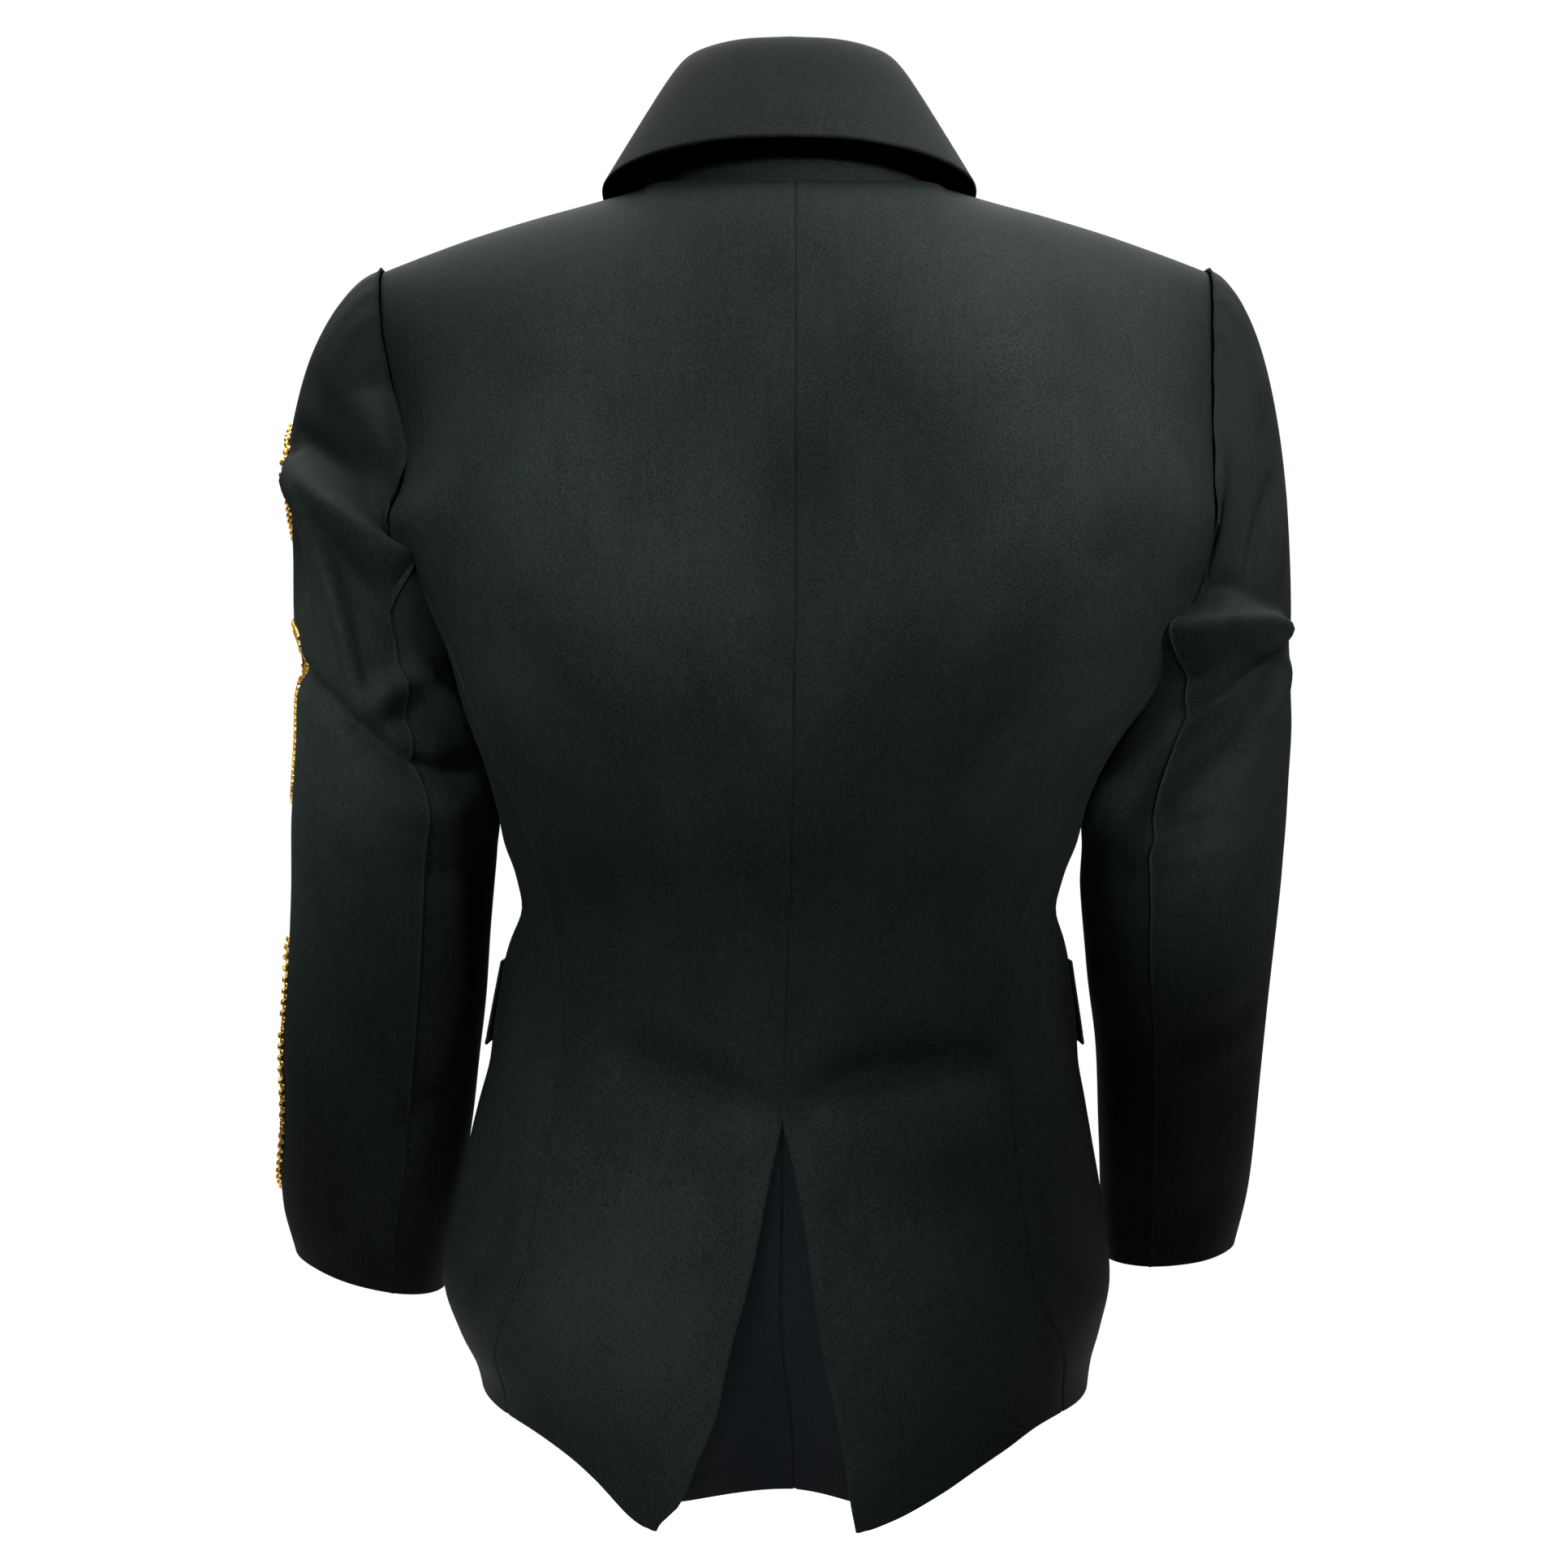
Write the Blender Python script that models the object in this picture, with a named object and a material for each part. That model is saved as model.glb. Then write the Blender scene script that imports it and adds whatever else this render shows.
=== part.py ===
"""Tailored blazer, filled out as if worn, hollow and open at neck, hem and cuffs.

Every piece of cloth is a wall worked out from the cut: girths of the body at a row of
heights, the shoulder and neck lines, the armhole, and girths down each sleeve.
Lengths in the tables are millimetres. The front faces -Y and the wearer's left is +X.
The origin is at the middle of the neck, level with the neck seam at the centre back.
"""
import math

import bmesh
import bpy
from mathutils import Vector

MM = 0.001

# Cloth and seams
CLOTH = 2.0
COLLAR_CLOTH = 2.4
SEAM_GAP = 0.3
HALF_GAP = SEAM_GAP / 2
LAYER_GAP = 0.4
# The seams lie further out than the back is deep, by this much
SEAM_REACH = 1.15

# Body: one row for each girth, from the hem to the level of the armhole seams.
# half_width is at the side, back and front are depths at the centre, shift is the lean of
# the centre line towards the wearer's left.
GIRTH_COLUMNS = ("z", "half_width", "back", "front", "shift")
GIRTH_ROWS = (
    (-650, 155.5, 111, 112, 4.0),
    (-612, 156.5, 112, 113, 4.5),
    (-592, 159.0, 113, 114, 5.5),
    (-575, 165.5, 114, 115, 7.5),
    (-551, 171.5, 115, 115, 9.0),
    (-515, 167.0, 114, 112, 8.0),
    (-466, 159.0, 110, 106, 6.5),
    (-432, 154.0, 105, 101, 5.0),
    (-390, 147.5, 100, 97, 4.0),
    (-353, 141.5, 98, 95, 2.5),
    (-310, 153.0, 103, 102, 1.5),
    (-268, 167.0, 109, 114, 0.5),
    (-228, 178.0, 112, 119, 0.0),
    (-205, 187.0, 111, 115, 0.0),
    (-165, 200.0, 109, 105, 0.0),
)
GIRTHS = (GIRTH_COLUMNS, GIRTH_ROWS)
SQUARE = 0.25

# Yoke: shoulder line, neckline and armhole
YOKE_Z = -165
NECK_X = 75
NECK_Y = 12
NECK_Z = 10
NAPE_Y = 62
TIP_X = 214
TIP_Z = -30
TIP_Y = 8
SHOULDER_SWELL = 2.5
ARM_X = {"back": 185, "front": 180}
ARMPIT_DROP = 40
YOKE_DEPTH = 90
YOKE_TOP = 1 - HALF_GAP / YOKE_DEPTH

# Seams and edges, as distances from the centre line
SEAM_COLUMNS = ("z", "back_seam", "front_seam")
SEAM_ROWS = (
    (-650, 136, 122),
    (-612, 134, 124),
    (-580, 130, 126),
    (-520, 119, 124),
    (-443, 109, 118),
    (-393, 111, 114),
    (-330, 129, 122),
    (-262, 154, 143),
    (-205, 175, 168),
    (-165, 185, 180),
)
SEAMS = (SEAM_COLUMNS, SEAM_ROWS)

VENT_APEX = -452
VENT_DROP = 1.027
VENT_COLUMNS = ("z", "left", "right")
VENT_ROWS = (
    (-650, 63, 34),
    (-639, 60, 32),
    (-627, 50, 30),
    (-605, 41, 28),
    (-579, 29.5, 25),
    (-537, 15.5, 18),
    (-507, 9.5, 13),
    (-477, 4.5, 7),
    (-452, 0.0, 0.0),
)
VENT = (VENT_COLUMNS, VENT_ROWS)
UNDERLAY_HEM = -635
UNDERLAY_TOP = 9
UNDERLAY_TURN = 22
UNDERLAY_GAP = 0.6
UNDERLAY_DEPTH = 27
UNDERLAY_SEAM_SWING = 4

# Height of the back hem by how far across the back it is, from the centre (0) to the side (1)
HEM_COLUMNS = ("across", "left", "right")
HEM_ROWS = (
    (0.00, -647, -645),
    (0.20, -647, -645),
    (0.33, -647, -639),
    (0.45, -642, -630),
    (0.58, -624, -619),
    (0.67, -614, -612),
    (0.77, -607, -605),
    (0.87, -604, -603),
    (1.00, -603, -605),
)
HEM = (HEM_COLUMNS, HEM_ROWS)
FRONT_HEM = -604
NOMINAL_HEM = -625

# Front edges: straight below the button, cut away to the hem, rolled to the neck above it
OVERLAP = 14
UNDER_STEP = 6.8
UNDER_REACH = 62
UNDER_RAMP = 40
UNDER_TOP_Z = -210
UNDER_FADE = 50
BREAK_Z = -330
CUTAWAY_Z = -470
CUTAWAY = 92
CUTAWAY_CURVE = 2.2
GORGE_T = 0.6

# Collar, from the centre back (0) over the side neck to the gorge (1), measured from the
# neck seam: the roll line lies inwards and up, the edge of the fall outwards and up.
COLLAR_COLUMNS = ("along", "roll_in", "roll_up", "edge_out", "edge_up")
COLLAR_ROWS = (
    (0.00, 10, 77, 15, 12),
    (0.20, 11, 75, 16, 12),
    (0.40, 14, 68, 19, 9),
    (0.55, 17.5, 59, 22, 3),
    (0.68, 18.5, 51, 23, 0),
    (0.82, 14, 36, 26, 0),
    (1.00, 4, 12, 28, -6),
)
COLLAR = (COLLAR_COLUMNS, COLLAR_ROWS)
SIDE_NECK_ALONG = 0.62
COLLAR_LEAN = 2.5
ROLL_ROOM = 1.1
STAND_SETBACK = 0.4
STAND_BOW = 1.5
ROLL_BEND = 6

# Sleeves: one row for each girth below the armhole. outer and inner are distances of the
# two side outlines from the middle of the garment, centre_y and half_depth run fore and aft,
# and lift is how far the ring tips up on its outer side.
SLEEVE_COLUMNS = ("z", "outer", "inner", "centre_y", "half_depth", "lift")
LEFT_SLEEVE_ROWS = (
    (-558, 269, 192, -36, 40, 12),
    (-530, 275, 187, -33, 42, 8),
    (-488, 274, 177, -26, 45, 3),
    (-433, 270, 169, -16, 48, 0),
    (-392, 265, 164, -8, 50, 0),
    (-350, 262, 160, -2, 53, 0),
    (-310, 260, 160, 2, 56, 0),
    (-268, 257, 171, 2, 58, 0),
    (-240, 257, 178, 1, 59, 0),
)
RIGHT_SLEEVE_ROWS = (
    (-548, 238, 171, -36, 38, 5),
    (-520, 244, 169, -33, 40, 4),
    (-488, 246, 167, -26, 43, 2),
    (-433, 248, 163, -16, 47, 0),
    (-392, 250, 157, -8, 50, 0),
    (-350, 253, 153, -2, 53, 0),
    (-310, 255, 157, 2, 56, 0),
    (-268, 257, 171, 2, 58, 0),
    (-240, 256, 178, 1, 59, 0),
)
SLEEVES = {
    1: (SLEEVE_COLUMNS, LEFT_SLEEVE_ROWS),
    -1: (SLEEVE_COLUMNS, RIGHT_SLEEVE_ROWS),
}
SLEEVE_TOP_Z = -240
SLEEVE_SETBACK = 0.7
HEAD_REACH = {1: 20, -1: 17}
HEAD_SWELL = {1: 24, -1: 4}
HEAD_SMOOTH = 0.4
HEAD_SINK = 4
ARMPIT_REACH = 5
ARMPIT_RISE = 14
TIP_RISE = 126
SLEEVE_SEAM = 0.33
SLEEVE_GIRTH = 310

# Folds: a soft trough (below zero) or ridge along a line between two places on the cloth.
# On a sleeve, around is the share of its girth from the outer line towards the back.
FOLD_COLUMNS = ("across_1", "z_1", "across_2", "z_2", "height", "width")
BACK_FOLDS = {
    1: ((10, -436, 72, -452, -3.5, 14),),
    -1: ((10, -440, 82, -446, -3.5, 14),
         (128, -215, 84, -305, -3.0, 26)),
}
SLEEVE_FOLDS = {
    1: ((0.07, -140, 0.40, -258, -7.0, 15),
        (0.05, -178, 0.30, -268, 4.0, 13),
        (-0.10, -215, 0.20, -285, -3.5, 14)),
    -1: ((0.38, -228, 0.10, -200, -7.5, 15),
         (0.02, -236, 0.36, -292, -6.0, 13),
         (0.05, -212, 0.33, -255, 4.0, 12)),
}

# Pocket flaps, on the front and round the side
FLAP_TOP = -388
FLAP_HEIGHT = 44
FLAP_BACK_ANGLE = math.radians(87)
FLAP_FRONT_ANGLE = math.radians(146)

# Lapels, as rows from the break to the gorge: depth is how far the edge lies beyond the
# roll line, drop how far the edge lies below the row's start.
LAPEL_COLUMNS = ("z", "depth", "drop")
LAPEL_ROWS = (
    (-322, 7, 2),
    (-290, 24, 5),
    (-240, 42, 10),
    (-180, 57, 18),
    (-110, 67, 30),
    (-50, 70, 42),
    (-22, 66, 46),
)
LAPEL = (LAPEL_COLUMNS, LAPEL_ROWS)
LAPEL_SETBACK = 0.6
LAPEL_ROLL = 3.0
LAPEL_ROLL_LOW = 0.15
LEFT_LAPEL_LIFT = 0.6

BUTTON_Z = -346
BUTTON_RADIUS = 10.5
BUTTON_LIFT = 0.9
BUTTON_RIM = 4.0
BUTTON_DISH = 3.0
BUTTON_EDGE = 0.5
BUTTON_RIM_WIDTH = 3.5
BUTTON_SEGMENTS = 20

# Steps of the grids
BODY_ROWS = 20
YOKE_ROWS = 10
NECK_STEPS = 5
SHOULDER_STEPS = 6
FRONT_STEPS = 8
SIDE_STEPS = 7
SLEEVE_HEAD_ROWS = 7
SLEEVE_ROWS = 13
GORGE_STEPS = 4

FINISHES = {
    "suiting": ((0.020, 0.023, 0.024), 0.85),
    "button": ((0.012, 0.012, 0.013), 0.35),
}


def clear_scene():
    for item in list(bpy.data.objects):
        bpy.data.objects.remove(item, do_unlink=True)


def finish(name, slot):
    """A material of the slot's colour and roughness, one for each piece."""
    colour, roughness = FINISHES[slot]
    material = bpy.data.materials.new(name + "_" + slot)
    material.use_nodes = True
    shader = material.node_tree.nodes["Principled BSDF"]
    shader.inputs["Base Color"].default_value = (*colour, 1.0)
    shader.inputs["Roughness"].default_value = roughness
    shader.inputs["Metallic"].default_value = 0.0
    return material


def read(table, name, at):
    """The named column's value on a smooth curve through the table's rows."""
    columns, rows = table
    column = columns.index(name)
    ordered = sorted(rows)
    at = min(max(at, ordered[0][0]), ordered[-1][0])
    place = 0
    while place < len(ordered) - 2 and at > ordered[place + 1][0]:
        place += 1

    def slope(row):
        before = ordered[max(row - 1, 0)]
        after = ordered[min(row + 1, len(ordered) - 1)]
        return (after[column] - before[column]) / (after[0] - before[0])

    low, high = ordered[place], ordered[place + 1]
    span = high[0] - low[0]
    part = (at - low[0]) / span
    rising = part * part * (3 - 2 * part)
    leaving = part * (1 - part) ** 2 * span * slope(place)
    arriving = part * part * (part - 1) * span * slope(place + 1)
    return low[column] + (high[column] - low[column]) * rising + leaving + arriving


def mix(start, end, part):
    return start + (end - start) * part


def fold_height(folds, across, z, scale=1.0):
    """Sum of the folds at a place, each fading out across its line and past its ends."""
    total = 0.0
    for row in folds:
        fold = dict(zip(FOLD_COLUMNS, row))
        start = Vector((fold["across_1"] * scale, fold["z_1"]))
        run = Vector((fold["across_2"] * scale, fold["z_2"])) - start
        offset = Vector((across * scale, z)) - start
        along = min(max(offset.dot(run) / run.length_squared, 0.0), 1.0)
        distance = (offset - run * along).length
        swell = 0.45 + 0.55 * math.sin(math.pi * along)
        total += fold["height"] * swell * math.exp(-(distance / fold["width"]) ** 2)
    return total


def lean_outwards(surface, u, v):
    """Outward normal of a surface given by two numbers, from small steps along both."""
    step = 0.002
    along_u = surface(u + step, v) - surface(u - step, v)
    along_v = surface(u, v + step) - surface(u, v - step)
    return along_u.cross(along_v).normalized()


def solid(name, vertices, faces, slot):
    """One object in metres from points in millimetres, closed and facing outwards."""
    mesh = bpy.data.meshes.new(name)
    mesh.from_pydata([point * MM for point in vertices], [], faces)
    shape = bmesh.new()
    shape.from_mesh(mesh)
    bmesh.ops.recalc_face_normals(shape, faces=shape.faces)
    shape.to_mesh(mesh)
    shape.free()
    mesh.materials.append(finish(name, slot))
    mesh.shade_smooth()
    mesh.set_sharp_from_angle(angle=math.radians(50))
    piece = bpy.data.objects.new(name, mesh)
    bpy.context.scene.collection.objects.link(piece)
    return piece


def cloth_wall(name, surface, us, vs, thickness=CLOTH, turn=1):
    """A wall of cloth: the surface's points outside, and inside the same points moved in.

    The edge of the grid is closed all round, so that the wall is one solid.
    """
    outer, inner = [], []
    for v in vs:
        for u in us:
            point = surface(u, v)
            outer.append(point)
            inner.append(point - turn * thickness * lean_outwards(surface, u, v))
    wide, tall = len(us), len(vs)
    count = wide * tall

    faces = []
    for row in range(tall - 1):
        for column in range(wide - 1):
            a = row * wide + column
            faces.append((a, a + 1, a + 1 + wide, a + wide))
            faces.append((count + a, count + a + wide, count + a + 1 + wide, count + a + 1))
    border = [column for column in range(wide)]
    border += [row * wide + wide - 1 for row in range(1, tall)]
    border += [(tall - 1) * wide + column for column in range(wide - 2, -1, -1)]
    border += [row * wide for row in range(tall - 2, 0, -1)]
    for place, start in enumerate(border):
        end = border[(place + 1) % len(border)]
        faces.append((start, count + start, count + end, end))
    return solid(name, outer + inner, faces, "suiting")


def steps(count, start=0.0, end=1.0):
    return [mix(start, end, index / count) for index in range(count + 1)]


# The body


def body_point(side, angle, z):
    """A place on the body: angle runs from the centre back (0) to the centre front (pi)."""
    face = "back" if angle <= math.pi / 2 else "front"
    depth = read(GIRTHS, face, z) * math.cos(angle)
    y = depth * (1 + SQUARE * math.sin(angle) ** 2)
    x = side * read(GIRTHS, "half_width", z) * math.sin(angle) + read(GIRTHS, "shift", z)
    return Vector((x, y, z))


def angle_at(distance, z):
    """Angle from the centre line of a place at a distance from it, on the girth at z."""
    return math.asin(min(max(distance / read(GIRTHS, "half_width", z), -1.0), 1.0))


def gap_angle(z):
    return HALF_GAP / (read(GIRTHS, "back", z) * SEAM_REACH)


ARM_ANGLE = {face: angle_at(ARM_X[face], YOKE_Z) for face in ARM_X}


def shoulder_line(x, face):
    """Height and depth of the top of the yoke at a distance x from the middle."""
    if x >= NECK_X:
        part = (x - NECK_X) / (TIP_X - NECK_X)
        swell = SHOULDER_SWELL * math.sin(math.pi * min(part, 1.0))
        return mix(NECK_Z, TIP_Z, part) + swell, mix(NECK_Y, TIP_Y, part)
    if face == "front":
        return NECK_Z, NECK_Y
    part = max(x, 0.0) / NECK_X
    return NECK_Z * part * part, mix(NECK_Y, NAPE_Y, math.sqrt(1 - part * part))


def yoke_point(side, face, angle, t):
    """A place above the armhole level: t runs from that level (0) to the shoulder seam (1)."""
    rise = math.sin(t * math.pi / 2)
    ease = math.cos(t * math.pi / 2)
    arm_x = mix(ARM_X[face], TIP_X, rise)
    x = arm_x * math.sin(angle) / math.sin(ARM_ANGLE[face])
    top_z, top_y = shoulder_line(x, face)
    base_y = body_point(1, angle if face == "back" else math.pi - angle, YOKE_Z).y
    return Vector((side * x, mix(top_y, base_y, ease), mix(YOKE_Z, top_z, rise)))


def hem_height(side, angle):
    if angle > math.pi / 2:
        return FRONT_HEM
    return read(HEM, "left" if side > 0 else "right", math.sin(max(angle, 0.0)))


def body_row(side, angle, nominal):
    """A place on the body in a row that follows the hem's curve, less so higher up."""
    part = (nominal - NOMINAL_HEM) / (YOKE_Z - NOMINAL_HEM)
    return body_point(side, angle, mix(hem_height(side, angle), YOKE_Z, part))


def vent_edge(side, z):
    """Distance of the back's vent edge from the centre line, nothing above the apex."""
    if z > VENT_APEX:
        return 0.0
    return read(VENT, "left" if side > 0 else "right", z)


def back_surface(side):
    """Centre back (u 0) to side seam and armhole (u 1), hem (v 0) to shoulder (v 2)."""
    def surface(u, v):
        if v <= 1:
            nominal = mix(NOMINAL_HEM, YOKE_Z, v)
            gap = gap_angle(nominal)
            start = angle_at(vent_edge(side, nominal * VENT_DROP), nominal) + gap
            end = angle_at(read(SEAMS, "back_seam", nominal), nominal) - gap
            point = body_row(side, mix(start, end, u), nominal)
        else:
            start = gap_angle(YOKE_Z)
            end = ARM_ANGLE["back"] - start
            point = yoke_point(side, "back", mix(start, end, u), (v - 1) * YOKE_TOP)
        point.y += fold_height(BACK_FOLDS[side], side * point.x, point.z)
        return point
    return surface


def side_surface(side):
    """Back seam (u 0) to front seam (u 1), hem (v 0) to the low half of the armhole (v 1)."""
    def surface(u, v):
        low = mix(NOMINAL_HEM, YOKE_Z, v)
        gap = gap_angle(low) * (1 + v ** 8)
        start = angle_at(read(SEAMS, "back_seam", low), low) + gap
        end = math.pi - angle_at(read(SEAMS, "front_seam", low), low) - gap
        dip = ARMPIT_DROP * max(math.sin(math.pi * min(max(u, 0), 1)), 0) ** 0.8
        nominal = low - dip * v ** 4
        return body_row(side, mix(start, end, u), nominal)
    return surface


def front_edge(nominal):
    """Distance of the front edge from the centre line, below zero where it laps over."""
    if nominal < CUTAWAY_Z:
        part = (CUTAWAY_Z - nominal) / (CUTAWAY_Z - NOMINAL_HEM)
        return -OVERLAP + CUTAWAY * part ** CUTAWAY_CURVE
    if nominal < BREAK_Z:
        return -OVERLAP
    return mix(-OVERLAP, NECK_X, (nominal - BREAK_Z) / (NECK_Z - BREAK_Z))


def under_lap(side, x, z):
    """How far the left front steps in, so that it lies under the right one."""
    if side < 0:
        return 0.0
    near = min(max((UNDER_REACH - x) / UNDER_RAMP, 0.0), 1.0)
    low = min(max((UNDER_TOP_Z - z) / UNDER_FADE, 0.0), 1.0)
    return UNDER_STEP * near * near * (3 - 2 * near) * low


def front_surface(side):
    """Front edge (u 0) to front seam and armhole (u 1), hem (v 0) to shoulder (v 2)."""
    def surface(u, v):
        if v <= 1:
            nominal = mix(NOMINAL_HEM, YOKE_Z, v)
            gap = gap_angle(nominal)
            start = angle_at(front_edge(nominal), nominal)
            end = angle_at(read(SEAMS, "front_seam", nominal), nominal) - gap
            angle = mix(start, end, u)
            point = body_row(side, math.pi - angle, nominal)
            distance = read(GIRTHS, "half_width", nominal) * math.sin(angle)
        else:
            t = (v - 1) * YOKE_TOP
            rise = math.sin(t * math.pi / 2)
            arm_x = mix(ARM_X["front"], TIP_X, rise)
            edge = front_edge(mix(YOKE_Z, NECK_Z, rise))
            start = math.asin(edge * math.sin(ARM_ANGLE["front"]) / arm_x)
            angle = mix(start, ARM_ANGLE["front"] - gap_angle(YOKE_Z), u)
            point = yoke_point(side, "front", angle, t)
            distance = abs(point.x)
        point.y += under_lap(side, distance, point.z)
        return point
    return surface


def front_at(side, x, z):
    """A place on the front's outer face from its distance x and height z."""
    if z <= YOKE_Z:
        return body_point(side, math.pi - angle_at(x, z), z)
    top_z = shoulder_line(x, "front")[0]
    rise = (z - YOKE_Z) / (top_z - YOKE_Z)
    arm_x = mix(ARM_X["front"], TIP_X, rise)
    angle = math.asin(x * math.sin(ARM_ANGLE["front"]) / arm_x)
    return yoke_point(side, "front", angle, math.asin(rise) * 2 / math.pi)


def neck_steps():
    """Columns of the back that end on the neckline, even along its curve."""
    places = steps(NECK_STEPS, 0.0, math.pi / 2)
    reach = NECK_X * math.sin(ARM_ANGLE["back"]) / TIP_X
    return [math.asin(reach * math.sin(place)) / ARM_ANGLE["back"] for place in places]


def make_body():
    body_steps = steps(BODY_ROWS)
    back_steps = neck_steps() + steps(SHOULDER_STEPS, neck_steps()[-1], 1.0)[1:]
    all_steps = body_steps + steps(YOKE_ROWS, 1.0, 2.0)[1:]
    for side, name in ((1, "left"), (-1, "right")):
        cloth_wall("back_" + name, back_surface(side), back_steps, all_steps, turn=-side)
        cloth_wall("side_body_" + name, side_surface(side), steps(SIDE_STEPS), body_steps,
                   turn=-side)
        cloth_wall("front_" + name, front_surface(side), steps(FRONT_STEPS), all_steps,
                   turn=side)


# Lapels, lying on the fronts


def lapel_surface(side):
    """Roll line (u 0) to lapel edge (u 1), break (v 0) to gorge (v 1)."""
    low, high = LAPEL_ROWS[0][0], LAPEL_ROWS[-1][0]

    def surface(u, v):
        z = mix(low, high, v)
        start_x = front_edge(z) + LAPEL_SETBACK
        x = start_x + read(LAPEL, "depth", z) * u
        place_z = z - read(LAPEL, "drop", z) * u
        point = front_at(side, x, place_z)
        step = 0.5
        across = front_at(side, x + step, place_z) - front_at(side, x - step, place_z)
        up = front_at(side, x, place_z + step) - front_at(side, x, place_z - step)
        normal = side * across.cross(up).normalized()
        stand = CLOTH + LAYER_GAP + LAPEL_ROLL * (1 - u) ** 2 * mix(LAPEL_ROLL_LOW, 1.0, v)
        stand += LEFT_LAPEL_LIFT if side > 0 else 0.0
        point.y += under_lap(side, x, place_z)
        return point + normal * stand
    return surface


def make_lapels():
    for side, name in ((1, "left"), (-1, "right")):
        cloth_wall("lapel_" + name, lapel_surface(side), steps(4), steps(12), turn=side)


# Collar


def neck_seam(along):
    """The neck seam from the centre back to the gorge on the wearer's left."""
    if along <= SIDE_NECK_ALONG:
        angle = along / SIDE_NECK_ALONG * math.pi / 2
        x = NECK_X * math.sin(angle)
        return Vector((x, mix(NECK_Y, NAPE_Y, math.cos(angle)), NECK_Z * math.sin(angle) ** 2))
    t = mix(1.0, GORGE_T, (along - SIDE_NECK_ALONG) / (1 - SIDE_NECK_ALONG))
    rise = math.sin(t * math.pi / 2)
    edge = front_edge(mix(YOKE_Z, NECK_Z, rise))
    arm_x = mix(ARM_X["front"], TIP_X, rise)
    angle = math.asin(edge * math.sin(ARM_ANGLE["front"]) / arm_x)
    return yoke_point(1, "front", angle, t)


def half_collar(along):
    """Neck seam, roll line, fall edge and level outward way, on the wearer's left."""
    step = 0.02
    ahead = neck_seam(min(along + step, 1.0)) - neck_seam(max(along - step, 0.0))
    if along < step:
        ahead = Vector((1, 0, 0))
    out = Vector((-ahead.y, ahead.x, 0)).normalized()
    seam = neck_seam(along)
    roll = seam - out * read(COLLAR, "roll_in", along)
    roll.z += read(COLLAR, "roll_up", along)
    edge = seam + out * read(COLLAR, "edge_out", along)
    edge.z += read(COLLAR, "edge_up", along)
    return seam, roll, edge, out


def collar_section(place):
    """The half collar's places at -1 to 1 round the neck, and the way up square to the roll."""
    along = min(abs(place), 1.0)
    mirror = Vector((-1 if place < 0 else 1, 1, 1))
    seam, roll, edge, out = [item * mirror for item in half_collar(along)]
    step = 0.03
    ahead = half_collar(min(along + step, 1.0))[1] - half_collar(max(along - step, 0.0))[1]
    if along < step:
        ahead = Vector((1, 0, 0))
    ahead = ahead * mirror
    up = out.cross(ahead).normalized()
    if up.z < 0:
        up = -up
    lean = Vector((COLLAR_LEAN, 0, 0))
    return seam, roll + lean, edge + lean, out, up


def stand_surface(place, v):
    """Collar stand: neck seam (v 0) to just under the roll line (v 1)."""
    seam, roll, _, out, up = collar_section(place)
    foot = seam - out * STAND_SETBACK - Vector((0, 0, CLOTH / 2))
    head = roll - out * COLLAR_CLOTH * 0.8 - up * (COLLAR_CLOTH + SEAM_GAP + ROLL_ROOM)
    bow = STAND_BOW * math.sin(math.pi * min(max(v, 0), 1))
    return foot.lerp(head, v) - out * bow


def fall_surface(place, v):
    """Collar fall: over the top of the stand (v 0), then down and out to its edge (v 1)."""
    _, roll, edge, out, _ = collar_section(place)
    start = roll - out * COLLAR_CLOTH * 1.6
    bend = roll + out * ROLL_BEND
    return start * (1 - v) ** 2 + bend * 2 * v * (1 - v) + edge * v * v


def make_collar():
    half = steps(NECK_STEPS, 0.0, SIDE_NECK_ALONG) + steps(GORGE_STEPS, SIDE_NECK_ALONG, 1.0)[1:]
    places = [-place for place in reversed(half[1:])] + half
    cloth_wall("collar_stand", stand_surface, places, steps(4), COLLAR_CLOTH, turn=-1)
    cloth_wall("collar_fall", fall_surface, places, (0, 0.06, 0.16, 0.35, 0.6, 0.82, 1.0),
               COLLAR_CLOTH, turn=1)


# Sleeves


def armhole(side, around):
    """The armhole's edge, from the shoulder tip (0) round the back to the tip again (1)."""
    around = around % 1.0
    if around <= SLEEVE_SEAM:
        return yoke_point(side, "back", ARM_ANGLE["back"], 1 - around / SLEEVE_SEAM)
    if around < 1 - SLEEVE_SEAM:
        part = (around - SLEEVE_SEAM) / (1 - 2 * SLEEVE_SEAM)
        return side_surface(side)(part, 1.0)
    part = (around - 1 + SLEEVE_SEAM) / SLEEVE_SEAM
    return yoke_point(side, "front", ARM_ANGLE["front"], part)


def sleeve_ring(side, around, z):
    """A place on the sleeve's girth at z, around from the outer line over the back."""
    table = SLEEVES[side]
    outer, inner = read(table, "outer", z), read(table, "inner", z)
    angle = around * 2 * math.pi
    x = (outer + inner) / 2 + (outer - inner) / 2 * math.cos(angle)
    y = read(table, "centre_y", z) + read(table, "half_depth", z) * math.sin(angle)
    return Vector((side * x, y, z + read(table, "lift", z) * math.cos(angle)))


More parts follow.
